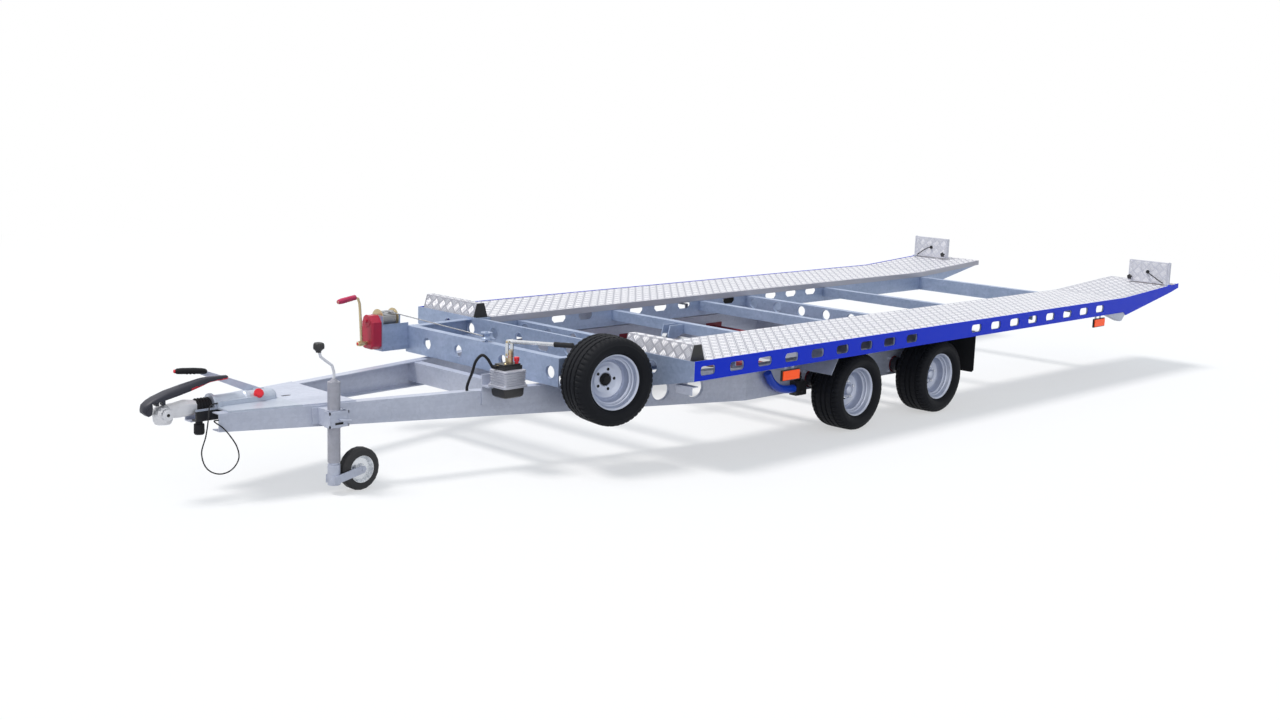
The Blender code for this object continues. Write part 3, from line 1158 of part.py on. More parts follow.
# Route of the winch rope from the drum to the pulley
ROPE_ROUTE = ((WINCH_BEAM_X + 0.106, WINCH_Y, DRUM_Z + 0.0393), (WINCH_BEAM_X - 0.003, PULLEY_Y + 0.0037, WINCH_BEAM_Z[1] + 0.030))


def build_left_beam_load(trailer):
    trailer.piece('pump_tank', pump_tank(), 'cast_grey')
    trailer.piece('pump_head', pump_head(), 'black_plastic', round_form=True)
    trailer.cord('pump_hose', hose_route(), 0.007, 'rubber')
    trailer.piece('spare_bracket', spare_bracket(), 'galvanised')
    centre = (SPARE_X, SPARE_Y, SPARE_Z)
    axis = Vector((math.sin(BEAM_ANGLE), math.cos(BEAM_ANGLE), 0))
    trailer.piece('spare_tyre', tyre(centre, axis), 'tyre', round_form=True)
    trailer.piece('spare_rim', rim(centre, axis, spare=True), 'rim_silver', round_form=True)
    trailer.piece('jockey_clamp', jockey_clamp(), 'galvanised')
    y = jockey_y()
    trailer.joint('jockey_slide', (JOCKEY_X, y, BEAM_TOP - 0.086), 'trailer')
    trailer.joint('jockey_screw', (JOCKEY_X, y, JOCKEY_TUBE_Z[0]), 'jockey_slide')
    trailer.joint('jockey_castor', (JOCKEY_X, y, JOCKEY_TUBE_Z[0]), 'jockey_screw')
    wheel, centre = jockey_wheel()
    trailer.joint('jockey_axle', centre, 'jockey_castor')
    trailer.piece('jockey_tube', jockey_tube(), 'galvanised', 'jockey_slide', True)
    trailer.piece('jockey_inner', jockey_inner(), 'galvanised', 'jockey_screw', True)
    trailer.piece('jockey_fork', jockey_fork(), 'galvanised', 'jockey_castor')
    trailer.piece('jockey_wheel', wheel, 'tyre', 'jockey_axle', True)


def build_bed(trailer):
    trailer.joint('bed_pivot', (PIVOT_X, 0, PIVOT_Z), 'trailer')
    trailer.piece('side_rail_left', side_rail(), 'blue_paint', 'bed_pivot')
    trailer.piece('side_rail_right', mirrored(side_rail()), 'blue_paint', 'bed_pivot')
    trailer.piece('front_crossbeam', front_crossbeam(), 'galvanised', 'bed_pivot')
    trailer.piece('bed_ladder', bed_ladder(), 'galvanised', 'bed_pivot')
    trailer.piece('runway_left', runway(), 'tread_plate', 'bed_pivot')
    trailer.piece('runway_right', mirrored(runway()), 'tread_plate', 'bed_pivot')
    trailer.piece('wheel_stop_left', wheel_stop(), 'tread_plate', 'bed_pivot')
    trailer.piece('wheel_stop_right', mirrored(wheel_stop()), 'tread_plate', 'bed_pivot')


def build_winch(trailer):
    trailer.piece('winch_frame', winch_frame(), 'galvanised', 'bed_pivot')
    trailer.piece('winch_drum', winch_drum(), 'zinc_yellow', 'bed_pivot', True)
    trailer.piece('winch_housing', winch_housing(), 'winch_red', 'bed_pivot')
    trailer.piece('winch_crank', winch_crank(), 'zinc_yellow', 'bed_pivot', True)
    trailer.cord('winch_rope', ROPE_ROUTE, 0.003, 'steel_rope', 'bed_pivot', 0.12)


def lamp_cable_route(side):
    """From the plate's gland to the foot of its hinge."""
    base = deck_top(LAMP_PIN_X) + 0.006
    middle = LAMP_PIN_Y - 0.006 - LAMP_PLATE_WIDTH / 2
    face = LAMP_PIN_X + 0.012 + 0.012 + GAP
    height = base + LAMP_PLATE_HEIGHT / 2 - 0.003
    points = [(face, middle, height), (face + 0.008, middle, height), (face + 0.014, middle + 0.016, height - 0.004), (face + 0.012, middle + 0.055, height - 0.026),
              (face + 0.006, middle + 0.095, height - 0.052), (face - 0.003, LAMP_PIN_Y - 0.028, base + 0.008)]
    return [(x, side * y, z) for x, y, z in points]


def build_lamps(trailer):
    for label, side in (('left', 1), ('right', -1)):
        joint = f'lamp_pivot_{label}'
        trailer.joint(joint, (LAMP_PIN_X, side * LAMP_PIN_Y, deck_top(LAMP_PIN_X)), 'bed_pivot')
        plate, lamp = lamp_plate(), tail_lamp()
        if side < 0:
            plate, lamp = mirrored(plate), mirrored(lamp)
        trailer.piece(f'lamp_plate_{label}', plate, 'tread_plate', joint)
        trailer.piece(f'tail_lamp_{label}', lamp, 'lamp_lens', joint)
        trailer.cord(f'lamp_cable_{label}', lamp_cable_route(side), 0.0035, 'rubber', joint)


def build_cylinder(trailer):
    trailer.joint('cylinder_pivot', (BARREL_EYE_X, 0, BARREL_EYE_Z), 'trailer')
    trailer.piece('tilt_barrel', tilt_barrel(), 'dark_grey', 'cylinder_pivot', True)
    trailer.piece('tilt_rod', tilt_rod(), 'rim_silver', 'cylinder_pivot', True)


def main():
    remove_scene_objects()
    trailer = Trailer()
    trailer.joint('trailer', (-X_MID, 0, 0))
    build_chassis(trailer)
    build_wheels(trailer)
    build_nose(trailer)
    build_left_beam_load(trailer)
    build_bed(trailer)
    build_winch(trailer)
    build_lamps(trailer)
    build_cylinder(trailer)


main()
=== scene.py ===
"""Looks of the tilt-bed car hauler trailer: finishes, tyres, tread plate, fasteners, lamps and stage.

Metres, in the trailer's own frame: X forward, Y to the left, Z up from the ground.
"""
import json
import math

import bmesh
import bpy
from mathutils import Matrix, Vector


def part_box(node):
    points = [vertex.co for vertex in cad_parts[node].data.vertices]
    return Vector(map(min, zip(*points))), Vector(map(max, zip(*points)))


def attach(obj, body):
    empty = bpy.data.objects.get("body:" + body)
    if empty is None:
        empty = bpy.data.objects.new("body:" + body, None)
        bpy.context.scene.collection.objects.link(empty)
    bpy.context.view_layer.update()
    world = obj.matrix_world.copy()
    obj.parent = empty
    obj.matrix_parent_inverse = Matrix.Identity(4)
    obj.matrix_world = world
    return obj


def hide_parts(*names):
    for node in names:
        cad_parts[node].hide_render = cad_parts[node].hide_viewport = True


bl_info = {
    "name": "Car hauler trailer",
    "version": (1, 0, 0),
    "blender": (4, 5, 0),
    "location": "View3D > Sidebar > Trailer",
    "description": "Dresses the car hauler trailer",
    "category": "Object",
}

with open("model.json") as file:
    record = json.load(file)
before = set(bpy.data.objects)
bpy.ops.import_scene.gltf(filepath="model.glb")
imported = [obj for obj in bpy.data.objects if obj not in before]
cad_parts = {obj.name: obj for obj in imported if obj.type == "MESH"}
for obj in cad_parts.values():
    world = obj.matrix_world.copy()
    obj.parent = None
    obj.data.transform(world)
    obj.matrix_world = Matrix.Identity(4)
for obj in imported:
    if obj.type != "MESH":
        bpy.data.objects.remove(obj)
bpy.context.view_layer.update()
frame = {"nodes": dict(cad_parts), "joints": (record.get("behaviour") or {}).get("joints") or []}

JOINTS = {joint["name"]: joint for joint in frame["joints"]}
WHEELS = ("front_left", "front_right", "rear_left", "rear_right")
SIDES = (("left", 1), ("right", -1))
UP = Vector((0, 0, 1))
AHEAD = (1, 0, 0)
CROSSWISE = (0, 1, 0)

MIDDLE_X = 0.4885        # the frame's origin lies this far ahead of the axles' middle
BEAM_Y = 0.740           # outer face of the chassis beams behind their bend
BEND_X = 0.6115          # ahead of this the beams run in towards the coupling
SPLAY_SLOPE = 0.590 / 2.830
BEAM_SPLAY = math.atan2(0.590, 2.830)
PLATE_Z = 0.562          # top of the level tread plate
KINK_X = -2.9285         # the plates bend up behind this
TAIL_SLOPE = 0.060
RAIL_FACE_Y = 1.0955     # the side rails are blue outside this
STOP_END_Y = (0.6065, 1.0615)   # the wheel stops are painted black beyond these, as the shadow inside their hollow ends
AXLE_END_Y = 0.742       # the axles are black outside this
JOCKEY_RIM = 0.0628      # radius at which the jockey wheel's tyre begins
COUPLING_Z = 0.412
WINCH_Y = -0.655
DRUM_Z = 0.600
CRANK_Z = 0.475
CAMERA_PLACE = (6.7259, 5.9374, 1.8395)


# Shapes


def at(x, y, z):
    """A point whose X is counted from the axles' middle."""
    return Vector((x - MIDDLE_X, y, z))


def span(side, a, b):
    """Two distances from the middle plane as Y, the lower first."""
    return sorted((side * a, side * b))


def loft(bm, loops, slot=0, closed=False):
    """Skin loops that have equally many points; open ends are filled."""
    rings = [[bm.verts.new(point) for point in loop] for loop in loops]
    pairs = list(zip(rings, rings[1:]))
    if closed:
        pairs.append((rings[-1], rings[0]))
    faces = []
    for near, far in pairs:
        for i in range(len(near)):
            j = (i + 1) % len(near)
            faces.append(bm.faces.new((near[i], near[j], far[j], far[i])))
    if not closed:
        faces.append(bm.faces.new(reversed(rings[0])))
        faces.append(bm.faces.new(rings[-1]))
    for face in faces:
        face.material_index = slot
    return faces


def box(bm, low, high, slot=0):
    (x0, y0, z0), (x1, y1, z1) = low, high
    return loft(bm, [[(x, y0, z0), (x, y1, z0), (x, y1, z1), (x, y0, z1)] for x in (x0, x1)], slot)


def frame_along(axis):
    """The axis at length 1 and two directions square to it."""
    axis = Vector(axis).normalized()
    helper = UP if abs(axis.z) < 0.9 else Vector(AHEAD)
    across = (helper - helper.project(axis)).normalized()
    return axis, across, axis.cross(across)


def circle(across, side, count, turn=0.0):
    """Directions round a circle."""
    angles = (turn + math.tau * k / count for k in range(count))
    return [across * math.cos(a) + side * math.sin(a) for a in angles]


def rounded(half_a, half_b, corner, steps):
    """Points round a rectangle with rounded corners."""
    points = []
    for a, b, begin in ((1, 1, 0), (-1, 1, 90), (-1, -1, 180), (1, -1, 270)):
        for k in range(steps + 1):
            angle = math.radians(begin + 90 * k / steps)
            points.append((a * (half_a - corner) + math.cos(angle) * corner,
                           b * (half_b - corner) + math.sin(angle) * corner))
    return points


def turned(bm, profile, centre, axis, segments, slot=0):
    """Turn a profile of (along, radius) points about an axis; ends at radius 0 close themselves."""
    axis, across, side = frame_along(axis)
    spokes = circle(across, side, segments)
    rings = []
    for along, radius in profile:
        base = Vector(centre) + axis * along
        if radius == 0:
            rings.append([bm.verts.new(base)] * segments)
        else:
            rings.append([bm.verts.new(base + spoke * radius) for spoke in spokes])
    pairs = list(zip(rings, rings[1:]))
    if profile[0][1] != 0 or profile[-1][1] != 0:
        pairs.append((rings[-1], rings[0]))
    for near, far in pairs:
        for i in range(segments):
            j = (i + 1) % segments
            corners = list(dict.fromkeys((near[i], near[j], far[j], far[i])))
            if len(corners) > 2:
                bm.faces.new(corners).material_index = slot


def solid(bm, profile, centre, axis, segments, slot=0):
    """Turn a profile whose two ends are closed by flat discs."""
    ends = [(along, 0) for along, _ in (profile[0], profile[-1])]
    turned(bm, [ends[0], *profile, ends[1]], centre, axis, segments, slot)


def round_bar(bm, points, radii, sides=12, slot=0):
    """A round bar along points; one radius, or one for each point."""
    points = [Vector(p) for p in points]
    radii = [radii] * len(points) if isinstance(radii, float) else radii
    loops, normal = [], None
    for i, (point, radius) in enumerate(zip(points, radii)):
        tangent = (points[min(i + 1, len(points) - 1)] - points[max(i - 1, 0)]).normalized()
        if normal is None:
            normal = frame_along(tangent)[1]
        normal = (normal - normal.project(tangent)).normalized()
        loops.append([point + spoke * radius for spoke in circle(normal, tangent.cross(normal), sides)])
    loft(bm, loops, slot)


def grip(bm, points, radii, sides, slot, first, shares, half, radius):
    """A rubber grip with raised rings between its first full point and the sixth."""
    round_bar(bm, points, radii, sides, slot)
    start, end = Vector(points[first]), Vector(points[5])
    ring = [(-half, 0.0120), (-half, radius), (half, radius), (half, 0.0120)]
    for share in shares:
        turned(bm, ring, start + (end - start) * share, end - start, sides, slot)


def smooth_route(points, step):
    """Points about a step apart on a smooth curve through the route's points."""
    route = [Vector(p) for p in points]
    ends = [route[0] * 2 - route[1]] + route + [route[-1] * 2 - route[-2]]
    result = []
    for p0, p1, p2, p3 in zip(ends, ends[1:], ends[2:], ends[3:]):
        count = max(1, round((p2 - p1).length / step))
        for i in range(count):
            t = i / count
            result.append(0.5 * (2 * p1 + (p2 - p0) * t + (2 * p0 - 5 * p1 + 4 * p2 - p3) * t ** 2
                                 + (3 * p1 - p0 - 3 * p2 + p3) * t ** 3))
    result.append(route[-1])
    return result


def hex_bolt(bm, centre, axis, across=0.017, slot=0):
    """Washer, hexagon head with a chamfer, and the thread's end."""
    r = across / 2
    solid(bm, [(0, r * 1.45), (0.0016, r * 1.45), (0.0018, r * 1.35)], centre, axis, 20, slot)
    solid(bm, [(0.0016, r * 1.12), (r * 0.95, r * 1.12), (r * 1.12, r * 0.92)], centre, axis, 6, slot)
    solid(bm, [(r, r * 0.52), (r * 1.55, r * 0.52), (r * 1.7, r * 0.42)], centre, axis, 12, slot)


def star_knob(bm, centre, axis, radius, height):
    """Plastic knob with five lobes round its rim."""
    lobes = 5
    axis, across, side = frame_along(axis)
    spokes = circle(across, side, lobes * 8)
    loops = []
    for share, scale in ((0, 0.45), (0.30, 0.50), (0.34, 0.90), (0.45, 1), (0.80, 0.98), (0.95, 0.85), (1, 0.60)):
        depth = 0.16 if scale > 0.7 else 0.0
        base = Vector(centre) + axis * height * share
        loops.append([base + spoke * radius * scale * (1 - depth * (0.5 - 0.5 * math.cos(math.tau * k / 8)))
                      for k, spoke in enumerate(spokes)])
    loft(bm, loops)


def beam_place(x, out, z):
    """A point at a distance out from the left drawbar beam's outer face."""
    outer = BEAM_Y - max(0.0, x - BEND_X) * SPLAY_SLOPE
    return Vector((x + out * math.sin(BEAM_SPLAY), outer + out * math.cos(BEAM_SPLAY), z))


class Bars:
    """Raised bars of tread plate: squares on their corners, with five bars that turn from row to row."""

    def __init__(self, sizes):
        self.square, self.height = sizes.tread_square, sizes.tread_rise
        self.bm = bmesh.new()

    def fill(self, origin, along, up, normal, length, width):
        """Cover a rectangle that starts at the origin; its two sides run along and up."""
        self.size = (length, width)
        self.axes = [Vector(axis).normalized() for axis in (along, up, normal)]
        self.origin = Vector(origin)
        self.turned_round = self.axes[0].cross(self.axes[1]).dot(self.axes[2]) < 0
        half_turn = math.sqrt(0.5)
        step = self.square / math.sqrt(2)
        for n in range(-1, int(width / step) + 2):
            for m in range(int(length / step) + 2):
                if (m + n) % 2:
                    continue
                a, b = m * step, n * step + (width / 2) % step
                ua, ub = half_turn, half_turn if m % 2 else -half_turn
                for k in range(-2, 3):
                    off = k * self.square * 0.185
                    self.bar(a - ub * off, b + ua * off, ua, ub)

    def bar(self, a, b, ua, ub):
        """One bar with its middle at (a, b), cut off at the rectangle's edge."""
        low, high = -self.square * 0.42, self.square * 0.42
        for centre, step, limit in ((a, ua, self.size[0]), (b, ub, self.size[1])):
            ends = sorted(((0.002 - centre) / step, (limit - 0.002 - centre) / step))
            low, high = max(low, ends[0]), min(high, ends[1])
        if high - low < self.square * 0.30:
            return
        half, taper = self.square * 0.048, self.square * 0.16
        along, up, normal = self.axes

        def spot(t, across, height=0):
            return self.bm.verts.new(self.origin + along * (a + ua * t - ub * across)
                                     + up * (b + ub * t + ua * across) + normal * height)

        start, end = spot(low, 0), spot(high, 0)
        right0, right1 = spot(low + taper, -half), spot(high - taper, -half)
        left0, left1 = spot(low + taper, half), spot(high - taper, half)
        top0, top1 = spot(low + taper * 1.1, 0, self.height), spot(high - taper * 1.1, 0, self.height)
        for corners in ((start, right0, top0), (start, top0, left0), (right0, right1, top1, top0),
                        (left0, top0, top1, left1), (end, top1, right1), (end, left1, top1)):
            self.bm.faces.new(reversed(corners) if self.turned_round else corners)


def piece(name, bm, finishes, body, bevel=0.0, angle=35):
    """Make the shape an object with its finishes that rides on a body."""
    bmesh.ops.recalc_face_normals(bm, faces=bm.faces)
    mesh = bpy.data.meshes.new(name)
    bm.to_mesh(mesh)
    bm.free()
    for finish in finishes.split():
        mesh.materials.append(FINISHES[finish])
    mesh.shade_smooth()
    mesh.set_sharp_from_angle(angle=math.radians(angle))
    ob = bpy.data.objects.new(name, mesh)
    bpy.context.scene.collection.objects.link(ob)
    if bevel:
        edges = ob.modifiers.new("edges", "BEVEL")
        edges.width = bevel
        edges.segments = 2
        edges.limit_method = "ANGLE"
        edges.angle_limit = math.radians(40)
        edges.harden_normals = True
    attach(ob, body)
    return ob


# Shader building


class NodeTree:
    """Short calls that add nodes to a tree."""

    def __init__(self, tree):
        self.tree = tree

    def give(self, target, value):
        """Link a socket to an input, or set the input's own value."""
        if isinstance(value, bpy.types.NodeSocket):
            self.tree.links.new(value, target)
        elif isinstance(value, tuple) and len(value) == 3 and target.type == "RGBA":
            target.default_value = (*value, 1)
        else:
            target.default_value = value

    def node(self, kind, settings=None, **inputs):
        node = self.tree.nodes.new(kind)
        for key, value in (settings or {}).items():
            setattr(node, key, value)
        for socket, value in inputs.items():
            self.give(node.inputs[int(socket[1:]) if socket[1:].isdigit() else socket.replace("_", " ")], value)
        return node

    def group(self, name, **inputs):
        return self.node("ShaderNodeGroup", {"node_tree": GROUPS[name]}, **inputs).outputs

    def math(self, operation, a, b=0.0, c=0.0, clamp=False):
        settings = {"operation": operation, "use_clamp": clamp}
        return self.node("ShaderNodeMath", settings, _0=a, _1=b, _2=c).outputs[0]

    def mix(self, factor, a, b):
        return self.node("ShaderNodeMix", {"data_type": "RGBA"}, _0=factor, _6=a, _7=b).outputs[2]

    def noise(self, place, scale, detail, roughness=0.5):
        return self.node("ShaderNodeTexNoise", Vector=place, Scale=scale, Detail=detail,
                         Roughness=roughness).outputs[0]

    def stretched(self, place, scale):
        return self.node("ShaderNodeMapping", Vector=place, Scale=scale).outputs[0]

    def place(self):
        return self.node("ShaderNodeTexCoord").outputs["Object"]

    def axes(self):
        """The place's X, Y and Z in the trailer's frame at rest."""
        return self.node("ShaderNodeSeparateXYZ", Vector=self.place()).outputs

    def seen(self):
        """1 where a camera, glossy or transmission ray arrives."""
        path = self.node("ShaderNodeLightPath").outputs
        both = self.math("ADD", path["Is Camera Ray"], path["Is Glossy Ray"])
        return self.math("ADD", both, path["Is Transmission Ray"], clamp=True)


class Group(NodeTree):
    """A shader node group: first its inputs with their defaults, at the end what it puts out."""

    def __init__(self, name, **inputs):
        super().__init__(bpy.data.node_groups.new(name, "ShaderNodeTree"))
        for socket, default in inputs.items():
            kind = "NodeSocketColor" if isinstance(default, tuple) else "NodeSocketFloat"
            made = self.tree.interface.new_socket(name=socket, in_out="INPUT", socket_type=kind)
            made.default_value = default
        self.start = self.tree.nodes.new("NodeGroupInput").outputs

    def finish(self, **outputs):
        for socket, value in outputs.items():
            kind = "NodeSocketColor" if value.type == "RGBA" else "NodeSocketFloat"
            self.tree.interface.new_socket(name=socket, in_out="OUTPUT", socket_type=kind)
        end = self.tree.nodes.new("NodeGroupOutput")
        for socket, value in outputs.items():
            self.tree.links.new(value, end.inputs[socket])
        return self.tree


class Shader(NodeTree):
    """A material's tree."""

    def __init__(self, name):
        self.material = bpy.data.materials.new(name)
        self.material.use_nodes = True
        super().__init__(self.material.node_tree)
        self.shader = self.tree.nodes["Principled BSDF"]

    def set(self, **values):
        for socket, value in values.items():
            self.give(self.shader.inputs[socket.replace("_", " ")], value)
        return self.material

    def bump(self, height, strength, distance):
        return self.node("ShaderNodeBump", Strength=strength, Distance=distance, Height=height).outputs[0]

    def dusted(self, shade, top, amount, dust):
        """The shade with road dust in patches below the top."""
        return self.mix(self.group("dust", Top=top, Amount=amount)[0], shade, dust)

    def varied(self, factor, colour, low, high):
        """The colour between a darker and a lighter one."""
        return self.mix(factor, tuple(c * low for c in colour), tuple(min(1.0, c * high) for c in colour))


def make_spangle_group():
    """Zinc flowers and mottling of hot-dip galvanising."""
    n = Group("Zinc spangle", Light=(0.62, 0.67, 0.80, 1), Dark=(0.36, 0.40, 0.50, 1), Flower=70.0)
    place = n.place()
    flowers = n.node("ShaderNodeTexVoronoi", {"feature": "F1"}, Vector=place, Scale=n.start["Flower"])
    tone = n.node("ShaderNodeSeparateColor", Color=flowers.outputs["Color"]).outputs[0]
    clouds = n.noise(place, 5.0, 4.0, 0.6)
    streaks = n.noise(n.stretched(place, (2.0, 9.0, 30.0)), 1.0, 3.0)
    both = n.math("MULTIPLY_ADD", tone, 0.20, n.math("MULTIPLY", clouds, 0.50))
    both = n.math("MULTIPLY_ADD", streaks, 0.60, n.math("SUBTRACT", both, 0.10), clamp=True)
    rough = n.node("ShaderNodeMapRange", Value=both, To_Min=0.52, To_Max=0.34).outputs[0]
    return n.finish(Color=n.mix(both, n.start["Dark"], n.start["Light"]), Roughness=rough,
                    Height=n.math("MULTIPLY_ADD", tone, 0.35, clouds))


def make_dust_group():
    """Road dust that settles low down and in patches; gives a mask."""
    n = Group("Road dust", Top=0.5, Amount=0.3)
    place = n.place()
    height = n.node("ShaderNodeSeparateXYZ", Vector=place).outputs[2]
    low = n.node("ShaderNodeMapRange", Value=height, From_Min=n.start["Top"], From_Max=0.0).outputs[0]
    patches = n.noise(place, 14.0, 6.0, 0.65)
    spread = n.math("MULTIPLY", n.math("SUBTRACT", patches, 0.35), 1.8, clamp=True)
    return n.finish(Mask=n.math("MULTIPLY", n.math("MULTIPLY", spread, low), n.start["Amount"], clamp=True))


def make_grain_group():
    """Fine speckle for moulded rubber, castings and paint."""
    n = Group("Surface grain", Scale=300.0)
    place = n.place()
    return n.finish(Fine=n.noise(place, n.start["Scale"], 3.0), Broad=n.noise(place, 11.0, 5.0, 0.6))


GROUPS = {}
FINISHES = {}


def galvanised(name, light, dark, metal, low=None, high=None, bright=None):
    """Zinc, paler above the bright height; black plastic below the low height or above the high one."""
    s = Shader(name)
    zinc = s.group("spangle", Light=light, Dark=dark)
    shade = s.dusted(zinc["Color"], 0.55, 0.30, (0.34, 0.31, 0.29))
    if low or high:
        height = s.axes()[2]
        if bright:
            shade = s.mix(s.math("GREATER_THAN", height, bright), shade, (0.80, 0.80, 0.84))
        black = s.math("LESS_THAN", height, low) if low else s.math("GREATER_THAN", height, high)
        shade = s.mix(black, shade, (0.012, 0.012, 0.014))
        metal = s.math("MULTIPLY_ADD", black, -metal, metal)
    return s.set(Base_Color=shade, Roughness=zinc["Roughness"], Metallic=metal,
                 Normal=s.bump(zinc["Height"], 0.12, 0.0006))


def blue_rail(name, blue):
    """Blue outside; the channel's inside stays galvanised."""
    s = Shader(name)
    outside = s.math("GREATER_THAN", s.math("ABSOLUTE", s.axes()[1]), RAIL_FACE_Y)
    grain = s.group("grain", Scale=420.0)
    dusty = s.dusted(blue, 0.62, 0.07, (0.16, 0.17, 0.24))
    return s.set(Base_Color=s.mix(outside, s.group("spangle")["Color"], dusty),
                 Roughness=s.math("MULTIPLY_ADD", grain["Broad"], 0.12, 0.34),
                 Metallic=s.math("MULTIPLY_ADD", outside, -0.40, 0.40), Specular_IOR_Level=0.18,
                 Normal=s.bump(grain["Fine"], 0.06, 0.0003))


def tread_plate(name, colour, rough, ends=False, metal=0.40):
    """Rolled aluminium, brushed along the plate, with dust in patches and, on the stops, ends painted black as the
    shadow inside them.
    """
    s = Shader(name)
    streaks = s.noise(s.stretched(s.place(), (6.0, 90.0, 90.0)), 1.0, 3.0)
    shade = s.dusted(s.varied(streaks, colour, 0.86, 1.10), 3.0, 0.16, (0.46, 0.45, 0.46))
    # Painted shadow: the stops' hollow ends are painted black
    if ends:
        side = s.math("ABSOLUTE", s.axes()[1])
        black = s.math("ADD", s.math("GREATER_THAN", side, STOP_END_Y[1]),
                       s.math("LESS_THAN", side, STOP_END_Y[0]), clamp=True)
        shade = s.mix(black, shade, (0.012, 0.012, 0.013))
        metal = s.math("MULTIPLY_ADD", black, -metal, metal)
    return s.set(Base_Color=shade, Roughness=s.math("MULTIPLY_ADD", streaks, 0.14, rough - 0.07),
                 Metallic=metal, Normal=s.bump(streaks, 0.10, 0.0004))


def jockey_wheel():
    """Black tyre round a zinc rim, told apart by the distance from the hub."""
    s = Shader("Jockey wheel")
    hub, place = JOINTS["jockey_roll"]["pos_m"], s.axes()
    squares = [s.math("POWER", s.math("SUBTRACT", place[k], hub[k]), 2.0) for k in (0, 2)]
    tyre = s.math("GREATER_THAN", s.math("SQRT", s.math("ADD", *squares)), JOCKEY_RIM)
    grain = s.group("grain", Scale=500.0)
    rough = s.math("MULTIPLY_ADD", grain["Broad"], 0.10, 0.22)
    return s.set(Base_Color=s.mix(tyre, (0.70, 0.72, 0.75), (0.018, 0.018, 0.020)),
                 Metallic=s.math("MULTIPLY_ADD", tyre, -0.8, 0.8),
                 Roughness=s.math("MULTIPLY_ADD", tyre, 0.38, rough), Normal=s.bump(grain["Fine"], 0.12, 0.0004))


def axle_red():
    """Dark red tube; the arms and drums beside the beams are black."""
    s = Shader("Axle red")
    grain = s.group("grain", Scale=300.0)
    outside = s.math("GREATER_THAN", s.math("ABSOLUTE", s.axes()[1]), AXLE_END_Y)
    shade = s.mix(outside, (0.22, 0.016, 0.030), (0.020, 0.020, 0.026))
    return s.set(Base_Color=s.dusted(shade, 0.50, 0.18, (0.12, 0.11, 0.10)),
                 Roughness=s.math("MULTIPLY_ADD", grain["Broad"], 0.20, 0.42),
                 Normal=s.bump(grain["Fine"], 0.15, 0.0004))


def wound_steel():
    """Strands that run slanted round the rope; the grooves between them are painted dark as shade."""
    s = Shader("Wound steel rope")
    waves = s.node("ShaderNodeTexWave", {"wave_type": "BANDS", "bands_direction": "DIAGONAL"},
                   Vector=s.place(), Scale=110.0, Distortion=0.4).outputs["Fac"]
    # Painted shade: the colour is darkest where the bump is lowest, in the grooves
    return s.set(Base_Color=s.mix(waves, (0.10, 0.10, 0.11), (0.50, 0.51, 0.53)), Metallic=0.8,
                 Roughness=s.math("MULTIPLY_ADD", waves, -0.12, 0.48), Normal=s.bump(waves, 0.5, 0.0008))


def lens(name, colour, glow=0.0):
    """Plastic lens with small square facets behind its face; glow gives it a painted glow in its own colour."""
    s = Shader(name)
    facets = s.node("ShaderNodeTexVoronoi", {"feature": "F1", "distance": "CHEBYCHEV"}, Scale=1.0, Randomness=0.0,
                    Vector=s.stretched(s.place(), (160.0, 160.0, 160.0))).outputs["Distance"]
    shade = s.mix(facets, colour, tuple(c * 0.55 for c in colour))
    return s.set(Base_Color=shade, Emission_Color=shade, Emission_Strength=glow, Specular_IOR_Level=0.3,
                 Roughness=s.math("MULTIPLY_ADD", facets, 0.10, 0.12), Normal=s.bump(facets, 0.25, 0.0008))


# Grain's scale, darkest and lightest share of the colour, dust's top, amount and colour, metal, shine,
# spread of the roughness, bump's strength and depth
COATS = {
    "paint": (380.0, 0.86, 1.12, 0.60, 0.22, (0.20, 0.18, 0.16), 0.0, 0.5, 0.14, 0.08, 0.0003),
    "plated": (260.0, 0.84, 1.10, 0.60, 0.0, (0.20, 0.18, 0.16), 0.88, 0.5, 0.20, 0.07, 0.0003),
    "cast": (520.0, 0.78, 1.12, 0.60, 0.30, (0.30, 0.28, 0.25), 0.55, 0.5, 0.16, 0.35, 0.0006),
    "silver": (900.0, 0.90, 1.06, 0.60, 0.30, (0.36, 0.34, 0.31), 0.45, 0.5, 0.14, 0.05, 0.0003),
    "rubber": (650.0, 1.0, 1.0, 0.45, 0.12, (0.050, 0.049, 0.050), 0.0, 0.18, 0.16, 0.25, 0.0004),
}

# Finish, material's name, coat, colour and mean roughness
COATED = (
    ("blue", "Guard blue", "paint", (0.004, 0.085, 0.80), 0.34),
    ("tyre", "Tyre rubber", "rubber", (0.0065, 0.0075, 0.0105), 0.66),
    ("rubber", "Black rubber", "rubber", (0.020, 0.020, 0.022), 0.60),
    ("rim", "Rim silver", "silver", (0.56, 0.60, 0.72), 0.37),
    ("red", "Winch red", "paint", (0.52, 0.012, 0.050), 0.34),
    ("pink", "Grip red", "paint", (0.58, 0.030, 0.110), 0.38),
    ("signal", "Signal red", "paint", (0.80, 0.012, 0.030), 0.30),
    ("zinc", "Yellow zinc", "plated", (0.56, 0.46, 0.28), 0.34),
    ("bright", "Bright zinc", "plated", (0.72, 0.74, 0.77), 0.25),
    ("brass", "Brass", "plated", (0.50, 0.40, 0.26), 0.34),
    ("black", "Black plastic", "paint", (0.018, 0.018, 0.020), 0.42),
    ("grey", "Dark grey", "paint", (0.016, 0.018, 0.032), 0.50),
    ("cast", "Cast aluminium", "cast", (0.52, 0.53, 0.60), 0.46),
    ("silver", "Silver casting", "cast", (0.80, 0.80, 0.83), 0.46),
    ("hole", "Shadow black", "paint", (0.008, 0.008, 0.009), 0.9),
)


